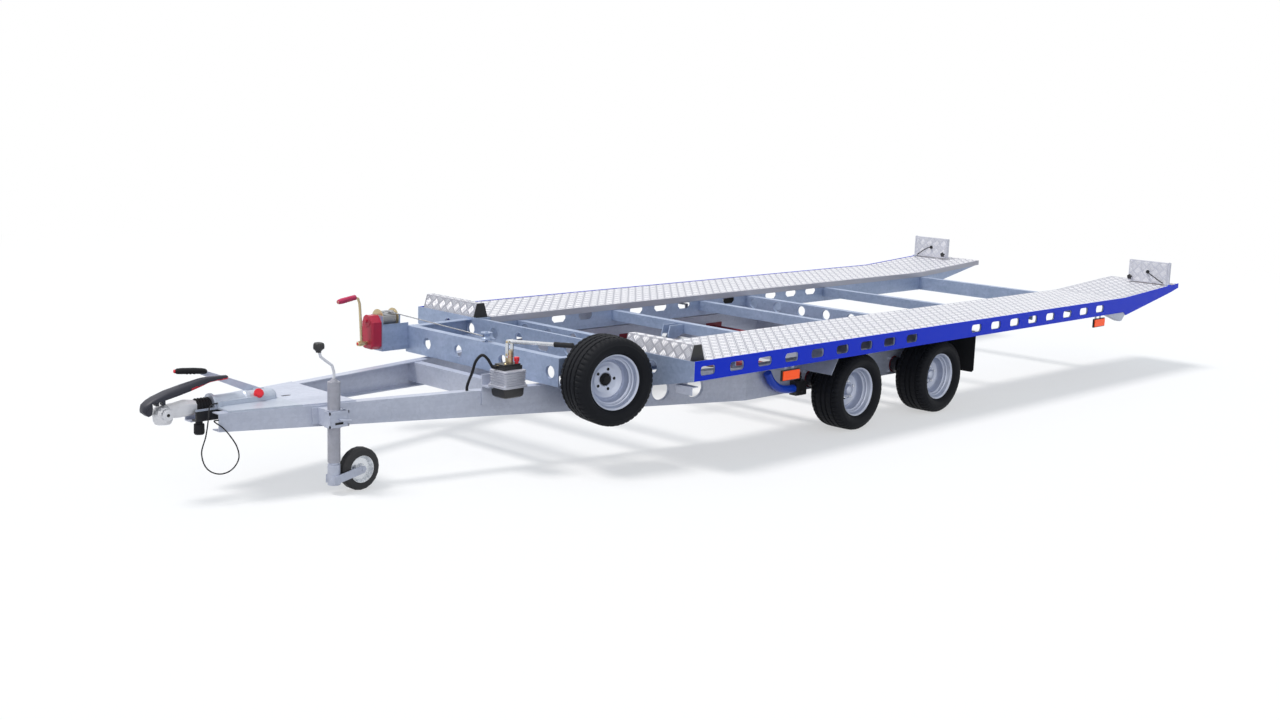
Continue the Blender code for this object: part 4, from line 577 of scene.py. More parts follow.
def coated(name, coat, colour, rough):
    """A plain coat: its colour varies a little, and dust lies low down."""
    scale, dark, light, top, amount, dust, metal, shine, spread, strength, depth = COATS[coat]
    s = Shader(name)
    grain = s.group("grain", Scale=scale)
    shade = s.varied(grain["Broad"], colour, dark, light)
    return s.set(Base_Color=s.dusted(shade, top, amount, dust), Metallic=metal, Specular_IOR_Level=shine,
                 Roughness=s.math("MULTIPLY_ADD", grain["Broad"], spread, rough - spread / 2),
                 Normal=s.bump(grain["Fine"], strength, depth))


def make_finishes(sizes):
    """Fill the groups and the materials by name."""
    GROUPS.update(spangle=make_spangle_group(), dust=make_dust_group(), grain=make_grain_group())
    for finish, *coat in COATED:
        FINISHES[finish] = coated(*coat)
    FINISHES.update(
        galvanised=galvanised("Galvanised steel", (0.70, 0.73, 0.84), (0.44, 0.47, 0.57), 0.26),
        # The bed's steel is a darker, bluer copy of the galvanised: painted shade and painted sky reflection
        bed_steel=galvanised("Galvanised bed steel, painted shade", (0.48, 0.56, 0.74), (0.20, 0.27, 0.41), 0.32),
        housing=galvanised("Galvanised housing", (0.62, 0.67, 0.76), (0.44, 0.48, 0.56), 0.30, low=0.3975),
        post=galvanised("Galvanised post", (0.48, 0.48, 0.54), (0.32, 0.32, 0.36), 0.30, high=0.6590,
                        bright=0.5335),
        rail=blue_rail("Blue side rail", tuple(sizes.rail_blue)),
        # The plates are painted much darker than their rolled bars: partly wear that brightens the bars' tops,
        # partly painted shade between the bars
        tread=tread_plate("Tread plate", (0.42, 0.42, 0.48), 0.42),
        stop=tread_plate("Wheel stop", (0.42, 0.42, 0.47), 0.46, ends=True),
        plate=tread_plate("Lamp plate", (0.68, 0.68, 0.74), 0.44, metal=0.15),
        bars=tread_plate("Rolled bars", (0.86, 0.85, 0.87), 0.44, metal=0.18),
        jockey=jockey_wheel(),
        axle=axle_red(),
        rope=wound_steel(),
        # Painted glow: the orange reflectors and lamp sections shine though no lamp is lit
        orange=lens("Orange lens", (1.0, 0.085, 0.001), 0.60),
        lamp_red=lens("Red lens", (0.62, 0.010, 0.008)),
        lamp_clear=lens("Clear lens", (0.75, 0.76, 0.78)),
    )


# Which nodes of the frame take each finish; * stands for left and for right
NODE_FINISHES = {
    "galvanised": "chassis_beam_* chassis_crossmember_front chassis_crossmember_middle chassis_crossmember_rear "
                  "mudguard_* nose_plate jockey_clamp spare_bracket jockey_inner jockey_fork",
    "bed_steel": "front_crossbeam bed_ladder winch_frame",
    "housing": "overrun_housing",
    "post": "jockey_tube",
    "silver": "coupling_head",
    "rail": "side_rail_*",
    "tread": "runway_*",
    "plate": "lamp_plate_*",
    "stop": "wheel_stop_*",
    "axle": "axle_front axle_rear",
    "rubber": "mudflap_* overrun_bellows trailer_plug",
    "grey": "tilt_barrel",
    "jockey": "jockey_wheel",
    "red": "winch_housing",
    "zinc": "winch_drum winch_crank",
    "bright": "tilt_rod",
    "lamp_red": "tail_lamp_*",
}


# Sizes that a user may change


class TrailerSizes(bpy.types.PropertyGroup):
    rail_blue: bpy.props.FloatVectorProperty(
        name="Rail blue", description="Paint of the side rails", subtype="COLOR", size=3, min=0, max=1,
        default=(0.004, 0.040, 0.80))
    tread_blocks: bpy.props.IntProperty(
        name="Tread blocks", description="Blocks round each tyre's shoulder", default=48, min=24, max=96)
    groove_depth: bpy.props.FloatProperty(
        name="Groove depth", description="Depth of the tyre's grooves", default=0.006, min=0.002, max=0.010,
        unit="LENGTH")
    tread_square: bpy.props.FloatProperty(
        name="Tread square", description="Side of a square of five bars on the tread plate", default=0.0465,
        min=0.02, max=0.10, unit="LENGTH")
    tread_rise: bpy.props.FloatProperty(
        name="Tread rise", description="Height of the tread plate's bars", default=0.0015, min=0.0005,
        max=0.003, unit="LENGTH")
    bolt_size: bpy.props.FloatProperty(
        name="Bolt size", description="Width across the flats of the frame's bolts", default=0.017,
        min=0.008, max=0.030, unit="LENGTH")


class StageSizes(bpy.types.PropertyGroup):
    floor_size: bpy.props.FloatProperty(
        name="Floor size", description="Side of the square floor", default=160.0, unit="LENGTH")
    floor_colour: bpy.props.FloatVectorProperty(
        name="Floor", description="Colour of the floor", subtype="COLOR", size=3, min=0, max=1,
        default=(0.93, 0.93, 0.93))
    camera_heading: bpy.props.FloatProperty(
        name="Heading", description="Direction in which the camera looks", default=math.radians(224.51),
        subtype="ANGLE")
    camera_pitch: bpy.props.FloatProperty(
        name="Pitch", description="Camera's tilt below the horizon", default=math.radians(-10.072),
        subtype="ANGLE")
    camera_roll: bpy.props.FloatProperty(
        name="Roll", description="Camera's roll", default=math.radians(1.976), subtype="ANGLE")
    lens: bpy.props.FloatProperty(
        name="Lens", description="Focal length for a 36 mm sensor, in millimetres", default=42.32)


# Operators


class TRAILER_OT_stage(bpy.types.Operator):
    """Floor, light and camera"""
    bl_idname = "trailer.stage"
    bl_label = "Stage"

    def execute(self, context):
        sizes = context.scene.stage_sizes
        self.floor(sizes)
        self.light(context.scene)
        self.camera(context.scene, sizes)
        return {"FINISHED"}

    def floor(self, sizes):
        """White where it is seen; it lights the trailer from below as a grey yard would."""
        half = sizes.floor_size / 2
        mesh = bpy.data.meshes.new("floor")
        corners = [(x, y, 0) for x, y in ((-half, -half), (half, -half), (half, half), (-half, half))]
        mesh.from_pydata(corners, [], [(0, 1, 2, 3)])
        floor = bpy.data.objects.new("floor", mesh)
        bpy.context.scene.collection.objects.link(floor)
        s = Shader("Pale floor")
        x, y = s.axes()[0], s.axes()[1]
        away = s.math("SQRT", s.math("ADD", s.math("MULTIPLY", x, x), s.math("MULTIPLY", y, y)))
        far = s.node("ShaderNodeMapRange", {"interpolation_type": "SMOOTHSTEP"}, Value=away, From_Min=4.5,
                     From_Max=11.0).outputs[0]
        seen = s.seen()
        mesh.materials.append(s.set(Base_Color=s.mix(seen, (0.30, 0.31, 0.34), tuple(sizes.floor_colour)),
                                    Roughness=0.9, Specular_IOR_Level=0.0))
        glow = s.node("ShaderNodeEmission", Color=(1.0, 1.0, 1.0), Strength=1.0)
        blend = s.node("ShaderNodeMixShader", _0=s.math("MULTIPLY", s.math("MAXIMUM", far, 0.52), seen),
                       _1=s.shader.outputs[0], _2=glow.outputs[0])
        s.give(s.tree.nodes["Material Output"].inputs["Surface"], blend.outputs[0])

    def light(self, scene):
        world = bpy.data.worlds.new("Studio")
        scene.world = world
        world.use_nodes = True
        n = NodeTree(world.node_tree)
        back, seen = n.tree.nodes["Background"].inputs, n.seen()
        n.give(back["Strength"], n.node("ShaderNodeMapRange", Value=seen, To_Min=0.50, To_Max=1.0).outputs[0])
        n.give(back["Color"], n.mix(seen, (0.72, 0.85, 1.0), (1.0, 1.0, 1.0)))
        for name, turn, strength, spread in (("key", (26, 0, 60), 2.25, 18), ("fill", (62, 0, 150), 0.50, 60)):
            lamp = bpy.data.lights.new(name, "SUN")
            lamp.energy = strength
            lamp.color = (1.0, 0.965, 0.93)
            lamp.angle = math.radians(spread)
            ob = bpy.data.objects.new(name, lamp)
            ob.rotation_euler = [math.radians(a) for a in turn]
            scene.collection.objects.link(ob)

    def camera(self, scene, sizes):
        camera = bpy.data.cameras.new("camera")
        camera.sensor_width = 36
        camera.lens = sizes.lens
        camera.clip_end = 500
        ob = bpy.data.objects.new("camera", camera)
        scene.collection.objects.link(ob)
        heading, pitch, roll = sizes.camera_heading, sizes.camera_pitch, sizes.camera_roll
        level = math.cos(pitch)
        ahead = Vector((math.cos(heading) * level, math.sin(heading) * level, math.sin(pitch)))
        side = ahead.cross(UP).normalized()
        right = side * math.cos(roll) + side.cross(ahead) * math.sin(roll)
        turn = Matrix((right, right.cross(ahead), -ahead)).transposed().to_4x4()
        ob.matrix_world = Matrix.Translation(CAMERA_PLACE) @ turn
        scene.camera = ob
        scene.view_settings.view_transform = "Standard"


class TRAILER_OT_finishes(bpy.types.Operator):
    """Finishes of the frame's own pieces"""
    bl_idname = "trailer.finishes"
    bl_label = "Finishes"

    def execute(self, context):
        make_finishes(context.scene.trailer_sizes)
        for finish, names in NODE_FINISHES.items():
            for name in names.split():
                for node in dict.fromkeys(name.replace("*", label) for label, _ in SIDES):
                    materials = frame["nodes"][node].data.materials
                    materials.clear()
                    materials.append(FINISHES[finish])
        return {"FINISHED"}


LAMP_ROUTE = ((-3.5642, 0.9305, 0.6876), (-3.5562, 0.9305, 0.6876), (-3.5502, 0.9465, 0.6836),
              (-3.5522, 0.9855, 0.6616), (-3.5582, 1.0255, 0.6356), (-3.5672, 1.056, 0.6186))

# Route, radius, finish, body, stiffness and lay of each cord; the routes are the part's own
CORDS = {
    "breakaway_cable": ((
        (3.3958, 0.059, 0.425), (3.4165, 0.059, 0.425), (3.4465, 0.080, 0.416), (3.4735, 0.118, 0.380),
        (3.5065, 0.152, 0.310), (3.5335, 0.162, 0.245), (3.5215, 0.164, 0.185), (3.4865, 0.165, 0.148),
        (3.4365, 0.166, 0.134), (3.3895, 0.170, 0.150), (3.3635, 0.178, 0.195), (3.3735, 0.180, 0.250),
        (3.4065, 0.177, 0.305), (3.4365, 0.172, 0.342), (3.4615, 0.158, 0.364), (3.4635, 0.1475, 0.3715),
        (3.4420, 0.1475, 0.3715)), 0.003, "rubber", "chassis", "limp", "hanging"),
    "pump_hose": ((
        (2.1718, 0.504872, 0.5293), (2.1958, 0.504872, 0.5293), (2.2238, 0.498872, 0.5713),
        (2.2438, 0.480872, 0.5893), (2.2598, 0.454872, 0.5573), (2.2578, 0.426872, 0.4993),
        (2.2498, 0.391071, 0.4493), (2.2468, 0.375071, 0.4193), (2.2468, 0.375071, 0.4006)),
        0.007, "rubber", "chassis", "medium", "hanging"),
    "winch_rope": (((1.9815, -0.655, 0.6393), (1.8725, 0.0387, 0.586)), 0.003, "rope", "bed", "medium", "taut"),
    "lamp_cable_left": (LAMP_ROUTE, 0.0035, "rubber", "lamp_left", "limp", "hanging"),
    "lamp_cable_right": (tuple((x, -y, z) for x, y, z in LAMP_ROUTE),
                         0.0035, "rubber", "lamp_right", "limp", "hanging"),
}


class TRAILER_OT_cords(bpy.types.Operator):
    """Breakaway cable, pump hose, winch rope and lamp cables"""
    bl_idname = "trailer.cords"
    bl_label = "Cords"

    def execute(self, context):
        for name, (route, radius, finish, body, stiffness, lay) in CORDS.items():
            points = smooth_route(route, 0.008 if lay != "taut" else 0.02)
            curve = bpy.data.curves.new(name + "_cord", "CURVE")
            curve.dimensions = "3D"
            curve.bevel_depth = radius
            curve.bevel_resolution = 4
            curve.use_fill_caps = True
            spline = curve.splines.new("POLY")
            spline.points.add(len(points) - 1)
            for target, point in zip(spline.points, points):
                target.co = (*point, 1)
            spline.use_smooth = True
            curve.materials.append(FINISHES[finish])
            cord = bpy.data.objects.new(name + "_cord", curve)
            context.scene.collection.objects.link(cord)
            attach(cord, body)
            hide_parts(name)
        return {"FINISHED"}


TYRE_CROWN = 0.2200


def tyre_shape(centre, axis, sizes):
    """Tyre with four grooves, shoulder blocks, slits in the ribs and rings on its walls."""
    crown, groove = TYRE_CROWN, TYRE_CROWN - sizes.groove_depth
    # Across the tyre and radius; the last value says how deep a slit goes there
    outer = [(0.0675, 0.1285, 0), (0.0700, 0.1330, 0), (0.0750, 0.1400, 0), (0.0860, 0.1470, 0),
             (0.0950, 0.1530, 0), (0.0955, 0.1536, 0), (0.1010, 0.1600, 0), (0.1040, 0.1680, 0),
             (0.1048, 0.1760, 0), (0.1040, 0.1850, 0), (0.1030, 0.1858, 0), (0.1005, 0.1940, 0),
             (0.0970, 0.2010, 0.3), (0.0905, 0.2095, 0.7), (0.0820, 0.2155, 1), (0.0720, 0.2183, 1),
             (0.0610, 0.2195, 1), (0.0590, groove, 0), (0.0510, groove, 0), (0.0490, 0.2199, 0.6),
             (0.0350, crown, 0), (0.0215, crown, 0.6), (0.0195, groove, 0), (0.0115, groove, 0),
             (0.0095, crown, 0.5), (0, crown, 0)]
    inside = [(-0.0660, 0.1285, 0), (-0.0700, 0.1500, 0), (0.0700, 0.1500, 0), (0.0660, 0.1285, 0)]
    profile = outer + [(-a, r, d) for a, r, d in reversed(outer[:-1])] + inside
    axis, across, side = frame_along(axis)
    count = sizes.tread_blocks * 4
    loops = []
    for along, radius, slit in profile:
        spokes = circle(across, side, count, math.tau * abs(along) * 14 / count)
        first = 2 if along < 0 else 0
        cut = slit * sizes.groove_depth * 0.9
        loops.append([Vector(centre) + axis * along + spoke * (radius - (0 if (i + first) % 4 else cut))
                      for i, spoke in enumerate(spokes)])
    bm = bmesh.new()
    loft(bm, loops, closed=True)
    return bm


def spare_place():
    """Middle of the spare wheel and the direction it faces."""
    low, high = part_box("spare_tyre")
    return (low + high) / 2, Vector((math.sin(BEAM_SPLAY), math.cos(BEAM_SPLAY), 0))


class TRAILER_OT_tyres(bpy.types.Operator):
    """Road tyres and the spare's, with tread and walls"""
    bl_idname = "trailer.tyres"
    bl_label = "Tyres"

    def execute(self, context):
        sizes = context.scene.trailer_sizes
        for place in WHEELS:
            bm = tyre_shape(JOINTS["wheel_spin_" + place]["pos_m"], CROSSWISE, sizes)
            tyre = piece("road_tyre_" + place, bm, "tyre", "wheel_" + place)
            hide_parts("tyre_" + place)
        tyre = piece("road_tyre_spare", tyre_shape(*spare_place(), sizes), "tyre", "chassis")
        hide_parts("spare_tyre")
        return {"FINISHED"}


# Along the axle and radius: lip, bead seat, wall and well in front, then the road wheel's disc or the
# spare's open one, and the back up to the lip
RIM_FRONT = ((0.0785, 0.1372), (0.0770, 0.1330), (0.0745, 0.1290), (0.0700, 0.1262), (0.0530, 0.1230),
             (0.0500, 0.1205), (0.0480, 0.1168), (0.0370, 0.1140), (0.0345, 0.1110), (0.0330, 0.1072),
             (0.0150, 0.1050), (-0.0040, 0.1035), (-0.0085, 0.1005), (-0.0040, 0.0940), (0, 0.0880),
             (-0.0020, 0.0820), (-0.0115, 0.0680), (-0.0135, 0.0640))
ROAD_DISC = ((-0.0125, 0.0345), (-0.0100, 0.0330), (-0.0100, 0), (-0.0200, 0), (-0.0200, 0.0680))
SPARE_DISC = ((-0.0135, 0.0345), (-0.0150, 0.0330), (-0.0215, 0.0330), (-0.0215, 0.0680))
RIM_BACK = ((-0.0200, 0.1020), (-0.0400, 0.1060), (-0.0700, 0.1330), (-0.0760, 0.1385), (-0.0785, 0.1372),
            (-0.0770, 0.1268), (-0.0650, 0.1240), (-0.0400, 0.1130), (0.0400, 0.1130), (0.0440, 0.1195),
            (0.0540, 0.1250), (0.0700, 0.1276), (0.0760, 0.1385))
STUD_RADIUS = 0.051


def rim_shape(centre, out, disc):
    """Stepped deep-dish rim."""
    bm = bmesh.new()
    turned(bm, RIM_FRONT + disc + RIM_BACK, centre, out, 64)
    return bm


class TRAILER_OT_rims(bpy.types.Operator):
    """Deep-dish rims with hubs, nuts, stud holes and valves"""
    bl_idname = "trailer.rims"
    bl_label = "Rims"

    def execute(self, context):
        for place in WHEELS:
            centre = Vector(JOINTS["wheel_spin_" + place]["pos_m"])
            out = Vector((0, 1 if "left" in place else -1, 0))
            rim = piece("deep_rim_" + place, rim_shape(centre, out, ROAD_DISC), "rim", "wheel_" + place)
            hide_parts("rim_" + place)
            bm = bmesh.new()
            for spoke in circle(Vector(AHEAD), UP, 5, 0.3):
                spot = centre + spoke * STUD_RADIUS - out * 0.0125
                solid(bm, [(-0.001, 0.0135), (0.0015, 0.0135), (0.004, 0.0105), (0.015, 0.0105), (0.018, 0.0080)],
                      spot, out, 6)
                solid(bm, [(0.015, 0.006), (0.024, 0.006), (0.0255, 0.0045)], spot, out, 12)
            turned(bm, [(-0.011, 0), (-0.011, 0.0320), (0.006, 0.0310), (0.018, 0.0295), (0.022, 0.0270),
                        (0.027, 0.0180), (0.029, 0)], centre, out, 32, 3)
            turned(bm, [(-0.100, 0.0215), (-0.100, 0.0940), (-0.040, 0.0940), (-0.034, 0.0900), (-0.034, 0.0215)],
                   centre, out, 40, 2)
            # Valve
            spot = centre + Vector((0.104, 0, -0.034)) + out * 0.036
            run = out * 0.026 + Vector((-0.010, 0, 0.004))
            round_bar(bm, [spot + run * share for share in (0, 0.45, 0.5, 1)],
                      [0.0055, 0.0050, 0.0038, 0.0038], 10, 1)
            piece("wheel_nuts_" + place, bm, "bright rubber grey rim", "wheel_" + place)
        centre, out = spare_place()
        rim = piece("deep_rim_spare", rim_shape(centre, out, SPARE_DISC), "rim", "chassis")
        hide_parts("spare_rim")
        bm = bmesh.new()
        # Black discs painted as the shadow in the five stud holes, a black disc as the shadow in the centre bore
        # and a black boss standing out of it
        for spoke in circle(out.cross(UP), UP, 5, 0.6):
            spot = centre + spoke * STUD_RADIUS - out * 0.0133
            solid(bm, [(-0.0005, 0.0078), (0.0005, 0.0078)], spot, out, 20)
        solid(bm, [(-0.0150, 0.0300), (-0.0128, 0.0300), (-0.0128, 0.0245), (-0.0150, 0.0235)], centre, out, 32)
        solid(bm, [(-0.0150, 0.0250), (-0.0135, 0.0250), (-0.0130, 0.0215), (0.0065, 0.0205), (0.0080, 0.0180)],
              centre, out, 32)
        piece("spare_stud_holes", bm, "hole", "chassis")
        return {"FINISHED"}


class TRAILER_OT_tread_bars(bpy.types.Operator):
    """Raised bars of the tread plate on the runways, wheel stops and lamp plates"""
    bl_idname = "trailer.tread_bars"
    bl_label = "Tread bars"

    def execute(self, context):
        sizes = context.scene.trailer_sizes
        runway_y, runway_width, runway_front, runway_tail = 0.5745, 0.5190, 1.3140, -3.7215
        stop_y, stop_width, low, high = 0.6080, 0.4520, 0.5590, 0.6393
        for label, side in SIDES:
            across = (0, side, 0)
            bars = Bars(sizes)
            bars.fill((KINK_X, side * runway_y, PLATE_Z), AHEAD, across, UP, runway_front - KINK_X, runway_width)
            slope = Vector((-1, 0, TAIL_SLOPE)).normalized()
            bars.fill((KINK_X - 0.002, side * runway_y, PLATE_Z), slope, across, slope.cross((0, -1, 0)),
                      KINK_X - runway_tail, runway_width)
            piece("runway_bars_" + label, bars.bm, "bars", "bed", angle=20)
            bars = Bars(sizes)
            for foot, top, sign in ((1.4195, 1.3945, 1), (1.3175, 1.3425, -1)):
                rise = Vector((top - foot, 0, high - low))
                face = Vector((rise.z, 0, -rise.x)) * sign
                bars.fill((foot, side * stop_y, low), across, rise, face, stop_width, rise.length)
            bars.fill((1.3425, side * stop_y, high), across, AHEAD, UP, stop_width, 0.0520)
            piece("stop_bars_" + label, bars.bm, "bars", "bed", angle=20)
            bars = Bars(sizes)
            bars.fill((-3.5765, side * 0.7860, 0.6125), across, UP, AHEAD, 0.2890, 0.1510)
            piece("lamp_plate_bars_" + label, bars.bm, "bars", "lamp_" + label, angle=20)
        return {"FINISHED"}


class TRAILER_OT_under_rails(bpy.types.Operator):
    """Side reflectors, step brackets and tail skids"""
    bl_idname = "trailer.under_rails"
    bl_label = "Under the rails"

    def execute(self, context):
        for label, side in SIDES:
            bm = bmesh.new()

            def block(x, ahead, out0, out1, low, high, slot):
                y0, y1 = span(side, out0, out1)
                box(bm, at(x - ahead, y0, low), at(x + ahead, y1, high), slot)

            for x in (1.145, -2.140):
                block(x, 0.072, 1.068, 1.080, 0.386, 0.444, 0)
                block(x, 0.067, 1.0805, 1.0850, 0.391, 0.439, 1)
                for bracket in (x - 0.030, x + 0.030):
                    block(bracket, 0.010, 1.0640, 1.0670, 0.395, 0.470, 2)
            skid = ((-2.487, 0.4640), (-2.427, 0.4060), (-2.397, 0.4050), (-2.210, 0.4640))
            loft(bm, [[at(x, y, z) for x, z in skid] for y in span(side, 1.052, 1.094)], 2)
            block(1.9130, 0.002, 0.980, 1.090, 0.3950, 0.4370, 2)
            block(1.8910, 0.021, 0.980, 1.090, 0.4330, 0.4370, 2)
            piece("under_rail_" + label, bm, "black orange galvanised", "bed", 0.0012)
        return {"FINISHED"}


class TRAILER_OT_wheel_guards(bpy.types.Operator):
    """Blue bent guard and dark bracket ahead of each front wheel"""
    bl_idname = "trailer.wheel_guards"
    bl_label = "Guards ahead of the wheels"

    def execute(self, context):
        bracket_x, route = 0.684, ((0.960, 0.356), (0.922, 0.304), (0.868, 0.266), (0.800, 0.246), (0.716, 0.242))
        for label, side in SIDES:
            bm = bmesh.new()
            round_bar(bm, smooth_route([at(x, side * 0.768, z) for x, z in route], 0.012), 0.0225, 20)
            for out, low, high, half, bolt_z in ((0.792, 0.204, 0.284, 0.044, 0.226),
                                                 (0.778, 0.225, 0.330, 0.008, 0.306)):
                y0, y1 = span(side, 0.7405, out)
                box(bm, at(bracket_x - half, y0, low), at(bracket_x + half, y1, high), 1)
                hex_bolt(bm, at(bracket_x, side * out, bolt_z), (0, side, 0), 0.012, 1)
            piece("wheel_guard_" + label, bm, "blue black", "chassis")
        return {"FINISHED"}


# Along the stabiliser handle: X, half width, then the lower and upper face above the coupling's middle
HANDLE = ((4.2125, 0.0170, 0, 0.0250), (4.2050, 0.0270, 0.004, 0.0390), (4.1800, 0.0330, 0.036, 0.0535),
          (4.1550, 0.0345, 0.040, 0.0660), (4.1300, 0.0350, 0.042, 0.0750), (4.1000, 0.0345, 0.048, 0.0860),
          (4.0600, 0.0330, 0.056, 0.0955), (4.0250, 0.0310, 0.064, 0.1040), (3.9900, 0.0285, 0.072, 0.1115),
          (3.9600, 0.0255, 0.080, 0.1180), (3.9300, 0.0215, 0.088, 0.1235), (3.9050, 0.0170, 0.096, 0.1255),
          (3.8900, 0.0145, 0.100, 0.1255), (3.8600, 0.0135, 0.103, 0.1250), (3.8300, 0.0130, 0.104, 0.1245),
          (3.8060, 0.0120, 0.105, 0.1235), (3.8005, 0.0085, 0.108, 0.1200))


def squared(value, power):
    """A sine or cosine drawn towards -1 and 1, for squarer ovals."""
    return math.copysign(abs(value) ** power, value)


class TRAILER_OT_nose(bpy.types.Operator):
    """Stabiliser handle, handbrake lever and the marks on the coupling"""
    bl_idname = "trailer.nose"
    bl_label = "Nose"

    def execute(self, context):
        z = COUPLING_Z
        self.handle(z)
        self.clamp_box()
        self.lever(-0.066, z)

        bm = bmesh.new()
        ball = at(4.115, 0, z - 0.013)
        for side in (-1, 1):
            # Round pads on the sides of the ball housing, each with a black disc as the painted shadow in its hole
            turned(bm, [(0.0500, 0), (0.0500, 0.0200), (0.0515, 0.0190), (0.0520, 0.0100), (0.0520, 0)],
                   ball, (0, side, 0), 32)
            solid(bm, [(0.0515, 0.0075), (0.0525, 0.0075)], ball, (0, side, 0), 20, 1)
        turned(bm, [(-0.004, 0), (-0.004, 0.0150), (0.0040, 0.0150), (0.0050, 0.0215), (0.0200, 0.0225),
                    (0.0250, 0.0190), (0.0270, 0)], at(3.665, 0.0300, z + 0.0220), (0.1, 0.75, 0.65), 24, 2)
        # A black sheet under the nose plate's slot: painted shadow
        box(bm, at(3.4755, -0.0085, 0.3990), at(3.5245, 0.0085, 0.4054), 1)
        piece("coupling_marks", bm, "silver hole signal", "chassis", angle=40)
        return {"FINISHED"}

    def handle(self, z):
        bm = bmesh.new()
        angles = [math.tau * (k + 0.5) / 28 for k in range(28)]
        loops = []
        for x, half, low, high in HANDLE:
            middle, tall = z + (low + high) / 2, (high - low) / 2
            loops.append([at(x, half * squared(math.cos(a), 0.62), middle + tall * squared(math.sin(a), 0.75))
                          for a in angles])
        # Red along the lower side from here back
        red = at(3.93, 0, z + 0.098)
        for face in loft(bm, loops):
            centre = face.calc_center_median()
            face.normal_update()
            below = centre.z < red.z + (red.x - centre.x) * 0.13
            if below and centre.x < red.x + 0.06 and abs(face.normal.x) < 0.9:
                face.material_index = 1
        handle = piece("stabiliser_handle", bm, "grey signal", "chassis", angle=50)
        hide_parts("coupling_handle")
        bm = bmesh.new()
        shield = ((4.2120, 0.002), (4.2095, 0.026), (4.1700, 0.042), (4.1680, 0.020), (4.1720, -0.010),
                  (4.1890, -0.0165))
        loft(bm, [[at(x, y, z + rise) for x, rise in shield] for y in (-0.0195, -0.012, 0.012, 0.0195)])
        for x in (4.115, 4.145):
            box(bm, at(x - 0.008, -0.0155, z + 0.0250), at(x + 0.006, 0.0155, z + 0.0460))
        piece("stabiliser_guard", bm, "grey", "chassis", 0.002)

    def clamp_box(self):
        """Folded box round the clamp; under its screw a black sheet painted as the shadow in a slot."""
        low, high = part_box("jockey_tube")
        post = at(3.460, (low.y + high.y) / 2, 0)
        bm = bmesh.new()
        for x0, x1, y0, y1, z0, z1, slot in (
                (-0.052, 0.052, 0.0395, 0.0445, 0.3180, 0.3300, 0),
                (-0.052, 0.052, 0.0395, 0.0445, 0.3780, 0.3900, 0),
                (-0.052, -0.046, 0, 0.0445, 0.3180, 0.3900, 0), (0.046, 0.052, 0, 0.0445, 0.3180, 0.3900, 0),
                (-0.046, 0.046, 0.0395, 0.0425, 0.3300, 0.3780, 0),
                (-0.020, 0.022, 0.0445, 0.0450, 0.3300, 0.3400, 1)):
            box(bm, post + Vector((x0, y0, z0)), post + Vector((x1, y1, z1)), slot)
        piece("clamp_box", bm, "galvanised hole", "chassis", 0.0012)

    def lever(self, y, z):
        bm = bmesh.new()
        arm = ((3.592, 0.008), (3.606, 0.0035), (3.622, 0.002), (3.760, 0.066), (3.860, 0.1095), (3.896, 0.126),
               (3.892, 0.144), (3.880, 0.144), (3.745, 0.092), (3.600, 0.034))
        loft(bm, [[at(x, y + a, z + rise) for x, rise in arm] for a in (-0.0050, 0.0055)])
        points = [at(x, y, z + rise) for x, rise in (
            (3.866, 0.1355), (3.874, 0.1375), (3.890, 0.1405), (3.930, 0.1460), (3.985, 0.1505), (4.008, 0.1520),
            (4.019, 0.1528))]
        grip(bm, points, [0.0085, 0.0125, 0.0138, 0.0140, 0.0142, 0.0128, 0.0075], 20, 1, 2,
             (0.30, 0.45, 0.60), 0.003, 0.0146)
        turned(bm, [(0.0005, 0), (0.0005, 0.0088), (0.0045, 0.0075), (0.0055, 0)], points[-1], (1, 0, 0.05), 20, 2)
        lever = piece("brake_lever", bm, "galvanised rubber signal", "chassis", 0.0012)
        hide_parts("handbrake_lever")


class TRAILER_OT_winch(bpy.types.Operator):
    """Wound rope, crank nut, grip and gear cover of the winch"""
    bl_idname = "trailer.winch_details"
    bl_label = "Winch details"

    def execute(self, context):
        y, drum, turns = WINCH_Y, at(2.422, WINCH_Y, DRUM_Z), 17
        bm = bmesh.new()
        for i in range(turns):
            along = 0.009 + i * 0.084 / (turns - 1)
            strand = [(along + 0.003 * math.sin(k * math.tau / 8), 0.0375 + 0.003 * math.cos(k * math.tau / 8))
                      for k in range(8)]
            turned(bm, strand, drum, AHEAD, 40)
        piece("wound_rope", bm, "rope", "bed")

        bm = bmesh.new()
        crank = at(2.5929, y, CRANK_Z)
        solid(bm, [(0.047, 0.0125), (0.056, 0.0125), (0.0585, 0.0100)], crank, AHEAD, 6)
        turned(bm, [(0.0585, 0), (0.0585, 0.0075), (0.0605, 0.0070), (0.0612, 0)], crank, AHEAD, 16, 1)
        points = [crank + Vector((ahead, 0, rise)) for ahead, rise in (
            (0.071, 0.2505), (0.0745, 0.2500), (0.100, 0.2460), (0.135, 0.2402), (0.160, 0.2362), (0.180, 0.2328),
            (0.1850, 0.2320))]
        grip(bm, points, [0.0115, 0.0142, 0.0138, 0.0142, 0.0150, 0.0120, 0.0060], 24, 2, 1,
             (0.25, 0.40, 0.55, 0.70), 0.002, 0.0150)
        # Gear cover on the housing's face and its screws
        cover = at(2.5319, y, DRUM_Z - 0.006)
        turned(bm, [(0.0600, 0), (0.0600, 0.0330), (0.0640, 0.0310), (0.0650, 0.0120), (0.0650, 0)],
               cover, AHEAD, 32, 3)
        solid(bm, [(0.0650, 0.0110), (0.0700, 0.0110), (0.0720, 0.0085)], cover, AHEAD, 6, 3)
        for across in (-0.036, 0.036):
            for rise in (-0.100, -0.004):
                hex_bolt(bm, at(2.5847, y + across, DRUM_Z + rise), AHEAD, 0.009, 3)
        piece("winch_trim", bm, "zinc signal pink red", "bed", angle=40)
        return {"FINISHED"}


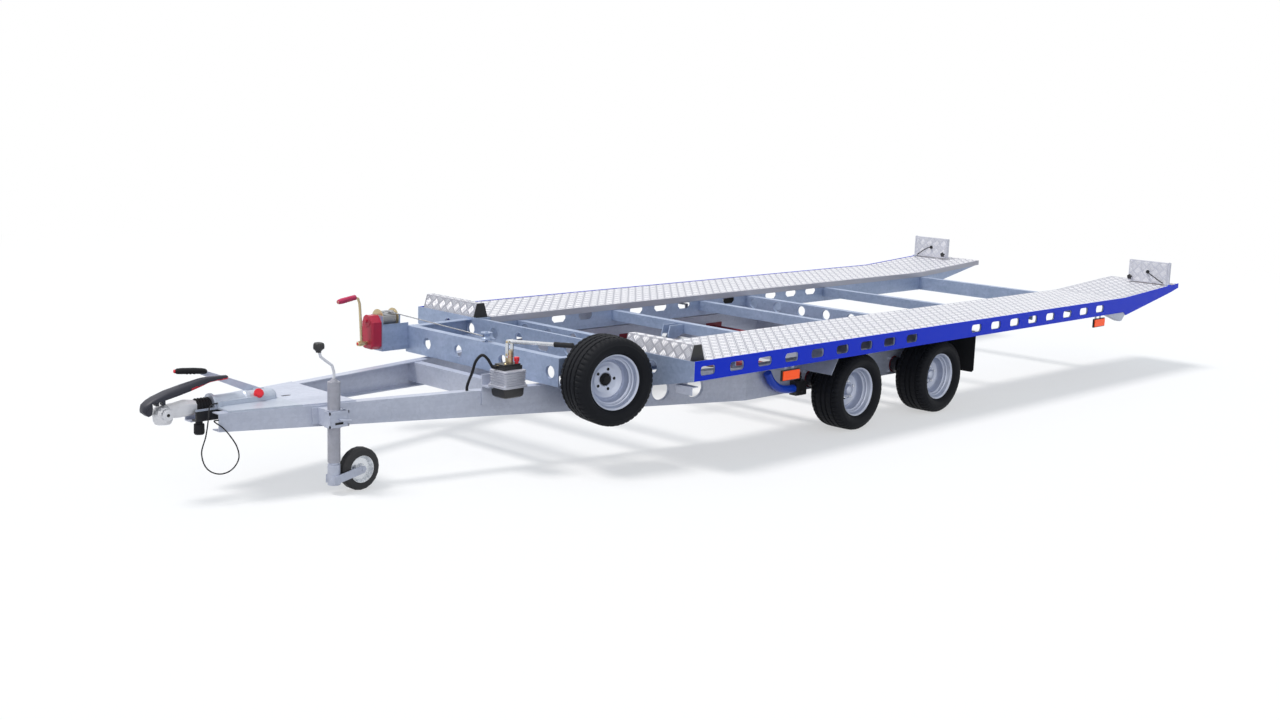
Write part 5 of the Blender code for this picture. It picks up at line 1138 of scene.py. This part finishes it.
class TRAILER_OT_pump(bpy.types.Operator):
    """Ribbed tank, valve block, knob, lever socket and lever of the hand pump"""
    bl_idname = "trailer.pump"
    bl_label = "Hand pump"

    def execute(self, context):
        corner = beam_place(2.530 - MIDDLE_X, 0, 0)
        self.tank(corner + Vector((0, 0.014, 0.431)))
        self.works(corner + Vector((0.075, 0.075, 0.5163)))
        return {"FINISHED"}

    def tank(self, low):
        """Ribbed casting over a black sump, on a bracket from the beam; low is its lowest corner."""
        length, width, tall = 0.151, 0.135, 0.085
        middle = low + Vector((length / 2, width / 2, 0))

        def skin(levels, corner, slot):
            loft(bm, [[middle + Vector((a, b, rise))
                       for a, b in rounded(length / 2 - inset, width / 2 - inset, corner, 5)]
                      for rise, inset in levels], slot)

        bm = bmesh.new()
        levels = [(0, 0.001), (0.010, 0.001), (0.0125, 0.004), (0.0135, 0.010)]
        for k in range(5):
            rib, inset = 0.018 + k * 0.0125, 0.0004 * k
            levels += [(rib, 0.0105 - inset), (rib + 0.0012, 0.0072 - inset), (rib + 0.0042, 0.0072 - inset),
                       (rib + 0.0054, 0.0105 - inset)]
        skin(levels + [(tall - 0.006, 0.0060), (tall - 0.002, 0.0075), (tall, 0.0120)], 0.014, 0)
        skin(((-0.0500, 0.0260), (-0.0440, 0.0180), (-0.0340, 0.0150), (-0.0010, 0.0135)), 0.010, 1)
        for out0, out1, z0, z1 in ((0.0006, 0.0080, 0.3300, low.z + 0.050),
                                   (0.0040, 0.0750, low.z - 0.0080, low.z - 0.0006)):
            plate = ((out0, z0), (out1, z0), (out1, z1), (out0, z1))
            loft(bm, [[beam_place(x, out, z) for out, z in plate]
                      for x in (low.x + 0.012, low.x + length - 0.004)], 2)
        for dx in (0.012, 0.139):
            for dy in (0.012, 0.123):
                hex_bolt(bm, low + Vector((dx, dy, 0.0100)), UP, 0.009, 2)
        tank = piece("cast_tank", bm, "cast black galvanised", "chassis")
        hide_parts("pump_tank")

    def works(self, top):
        """Valve block, knob, barrel in a fork of two cheeks, and the lever; top is the tank's upper face."""
        bm = bmesh.new()
        for low, high, inset in ((0, 0.018, 0), (0.0182, 0.0258, 0.006)):
            box(bm, top + Vector((inset - 0.060, inset - 0.040, low)),
                top + Vector((0.055 - inset, 0.040 - inset, high)))
        solid(bm, [(0.0262, 0.0090), (0.0360, 0.0090), (0.0370, 0.0125), (0.0540, 0.0138), (0.0580, 0.0110)],
              top + Vector((-0.036, 0.026, 0)), UP, 24, 1)
        barrel = top + Vector((-0.020, -0.010, 0))
        solid(bm, [(0.0262, 0.0190), (0.0520, 0.0190), (0.0530, 0.0150), (0.0760, 0.0150), (0.0770, 0.0175),
                   (0.0860, 0.0175)], barrel, UP, 28, 2)
        cheek = ((-0.011, 0.050), (0.011, 0.050), (0.009, 0.132), (0, 0.140), (-0.009, 0.132))
        for side in (-0.0150, 0.0150):
            loft(bm, [[barrel + Vector((side + a, across, rise)) for across, rise in cheek]
                      for a in (-0.0025, 0.0025)], 3)
        for rise in (0.066, 0.128):
            solid(bm, [(-0.0195, 0.0062), (0.0195, 0.0062)], barrel + UP * rise, AHEAD, 16, 4)
        start = barrel + Vector((0, -0.012, 0.128))
        run = Vector((-0.072, 0.386, 0.026))
        side = run.cross(UP).normalized()
        section = ((-1, -0.6), (-0.6, -1), (0.6, -1), (1, -0.6), (1, 0.6), (0.6, 1), (-0.6, 1), (-1, 0.6))
        loft(bm, [[start + run * share + side * a * half + UP * b * tall for a, b in section]
                  for share, half, tall in ((0, 0.0105, 0.0085), (0.03, 0.0110, 0.0090), (0.10, 0.0060, 0.0090),
                                            (0.70, 0.0050, 0.0085), (0.73, 0.0050, 0.0085))], 3)
        round_bar(bm, [start + run * share for share in (0.715, 0.722, 0.735, 0.80, 0.86, 0.93, 0.985, 0.998)],
                  [0.0100, 0.0130, 0.0130, 0.0122, 0.0128, 0.0122, 0.0130, 0.0080], 20, 5)
        solid(bm, [(0, 0.0085), (0.020, 0.0085)], top + Vector((0.0350, -0.012, 0.013)), AHEAD, 6, 4)
        hex_bolt(bm, top + Vector((0.030, 0.022, 0.0258)), UP, 0.011, 4)
        head = piece("pump_works", bm, "black signal brass bright zinc rubber", "chassis")
        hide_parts("pump_head")


class TRAILER_OT_knobs(bpy.types.Operator):
    """Knobs of the jockey wheel's crank and the lamp plates; the rear of the lamps"""
    bl_idname = "trailer.knobs"
    bl_label = "Knobs"

    def execute(self, context):
        low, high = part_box("jockey_tube")
        bm = bmesh.new()
        star_knob(bm, (3.0515, (low.y + high.y) / 2, 0.6600), UP, 0.0265, 0.0445)
        piece("jockey_knob", bm, "black", "jockey_post")
        for label, side in SIDES:
            bm = bmesh.new()
            star_knob(bm, (-3.5640, side * 0.8050, 0.6409), AHEAD, 0.0200, 0.0180)
            solid(bm, [(-0.0005, 0.0130), (0.0020, 0.0130), (0.0020, 0.0095), (0.0128, 0.0092)],
                  (-3.5762, side * 0.9305, 0.6879), AHEAD, 20, 1)
            piece("lamp_knob_" + label, bm, "black rubber", "lamp_" + label, angle=50)
            bm = bmesh.new()
            low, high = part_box("tail_lamp_" + label)
            middle, half = (low.y + high.y) / 2, (high.y - low.y) / 2
            for slot, (out0, out1) in enumerate(((0.91, 0.32), (0.30, -0.28), (-0.30, -0.91))):
                y0, y1 = sorted((middle + side * half * out0, middle + side * half * out1))
                box(bm, (low.x - 0.0015, y0, low.z + 0.014), (low.x + 0.004, y1, high.z - 0.014), slot)
            piece("lamp_lenses_" + label, bm, "orange lamp_red lamp_clear", "lamp_" + label, 0.0008)
        return {"FINISHED"}


def collar(bm, centre, axis, radius, deep):
    """Pressed flange round a hole's edge and a little way in."""
    turned(bm, [(0.0002, radius + 0.0050), (0.0012, radius + 0.0034), (0.0008, radius), (-0.0030, radius - 0.0016),
                (-deep, radius - 0.0016), (-deep, radius - 0.0004), (0.0002, radius + 0.0002)], centre, axis, 32)


class TRAILER_OT_collars(bpy.types.Operator):
    """Flanged edges of the round holes and the side rails' slots"""
    bl_idname = "trailer.collars"
    bl_label = "Hole collars"

    def execute(self, context):
        hole = 0.0325
        sixths = (-0.87, -0.52, -0.174, 0.174, 0.52, 0.87)
        # X, height and depth of the holes of each crossbeam, half its width and the holes' shares of that
        rows = ((2.364, 0.480, 0.014, 0.617, (-0.697, -0.267, 0.316, 0.900)),
                (1.920, 0.500, 0.014, 1.100, (0.182, 0.373, 0.555, 0.745, -0.182, -0.373, -0.555, -0.745)),
                (1.610, 0.482, 0.012, 0.5773, sixths), (-0.400, 0.482, 0.012, 0.5773, sixths))
        bm = bmesh.new()
        for x, z, deep, half, shares in rows:
            for share in shares:
                collar(bm, at(x, share * half, z), AHEAD, hole, deep)
        piece("bed_hole_collars", bm, "bed_steel", "bed", angle=50)
        bm = bmesh.new()
        for x, z in ((1.864, 0.3214), (1.650, 0.3175), (1.436, 0.3136)):
            centre = beam_place(x - MIDDLE_X, 0, z)
            for side in (-1, 1):
                collar(bm, (centre.x, side * centre.y, z), (math.sin(BEAM_SPLAY), side * math.cos(BEAM_SPLAY), 0),
                       0.055, 0.018)
        piece("beam_hole_collars", bm, "galvanised", "chassis", angle=50)
        bm = bmesh.new()
        half_length, half_height, corner, pitch, slot_z = 0.055, 0.025, 0.018, 0.216, 0.5135
        places = [1.815 - i * pitch for i in range(9)] + [-0.585 - i * pitch for i in range(8)]
        edge = ((1.0998, -0.0004), (1.0990, 0.0014), (1.0860, 0.0022), (1.0860, 0.0008), (1.0975, 0.0002))
        for x in places:
            for side in (-1, 1):
                loft(bm, [[at(x + a, side * y, slot_z + b)
                           for a, b in rounded(half_length - inset, half_height - inset, corner - inset, 4)]
                          for y, inset in edge], closed=True)
        piece("slot_edges", bm, "rail", "bed", angle=40)
        return {"FINISHED"}


class TRAILER_OT_fasteners(bpy.types.Operator):
    """Bolts of the axles"""
    bl_idname = "trailer.fasteners"
    bl_label = "Fasteners"

    def execute(self, context):
        size = context.scene.trailer_sizes.bolt_size
        bm = bmesh.new()
        for side in (-1, 1):
            for x in (0.601, 0.491, -0.211, -0.321):
                for z in (0.318, 0.240):
                    hex_bolt(bm, at(x, side * BEAM_Y, z), (0, side, 0), size)
        piece("chassis_bolts", bm, "galvanised", "chassis")
        return {"FINISHED"}


# Panel and registration


OPERATORS = (TRAILER_OT_stage, TRAILER_OT_finishes, TRAILER_OT_cords, TRAILER_OT_tyres, TRAILER_OT_rims,
             TRAILER_OT_tread_bars, TRAILER_OT_under_rails, TRAILER_OT_wheel_guards, TRAILER_OT_nose,
             TRAILER_OT_winch, TRAILER_OT_pump, TRAILER_OT_knobs, TRAILER_OT_collars, TRAILER_OT_fasteners)


class TRAILER_PT_panel(bpy.types.Panel):
    """Lists the trailer's steps"""
    bl_idname = "TRAILER_PT_panel"
    bl_label = "Car hauler trailer"
    bl_space_type = "VIEW_3D"
    bl_region_type = "UI"
    bl_category = "Trailer"

    def draw(self, context):
        for group in (context.scene.trailer_sizes, context.scene.stage_sizes):
            for name in group.__annotations__:
                self.layout.prop(group, name)
        for operator in OPERATORS:
            self.layout.operator(operator.bl_idname)


CLASSES = (TrailerSizes, StageSizes) + OPERATORS + (TRAILER_PT_panel,)


def register():
    for cls in CLASSES:
        bpy.utils.register_class(cls)
    bpy.types.Scene.trailer_sizes = bpy.props.PointerProperty(type=TrailerSizes)
    bpy.types.Scene.stage_sizes = bpy.props.PointerProperty(type=StageSizes)


def unregister():
    del bpy.types.Scene.stage_sizes
    del bpy.types.Scene.trailer_sizes
    for cls in reversed(CLASSES):
        bpy.utils.unregister_class(cls)


def main():
    register()
    bpy.ops.trailer.stage()
    bpy.ops.trailer.finishes()
    bpy.ops.trailer.cords()
    bpy.ops.trailer.tyres()
    bpy.ops.trailer.rims()
    bpy.ops.trailer.tread_bars()
    bpy.ops.trailer.under_rails()
    bpy.ops.trailer.wheel_guards()
    bpy.ops.trailer.nose()
    bpy.ops.trailer.winch_details()
    bpy.ops.trailer.pump()
    bpy.ops.trailer.knobs()
    bpy.ops.trailer.collars()
    bpy.ops.trailer.fasteners()


if __name__ == "__main__":
    main()
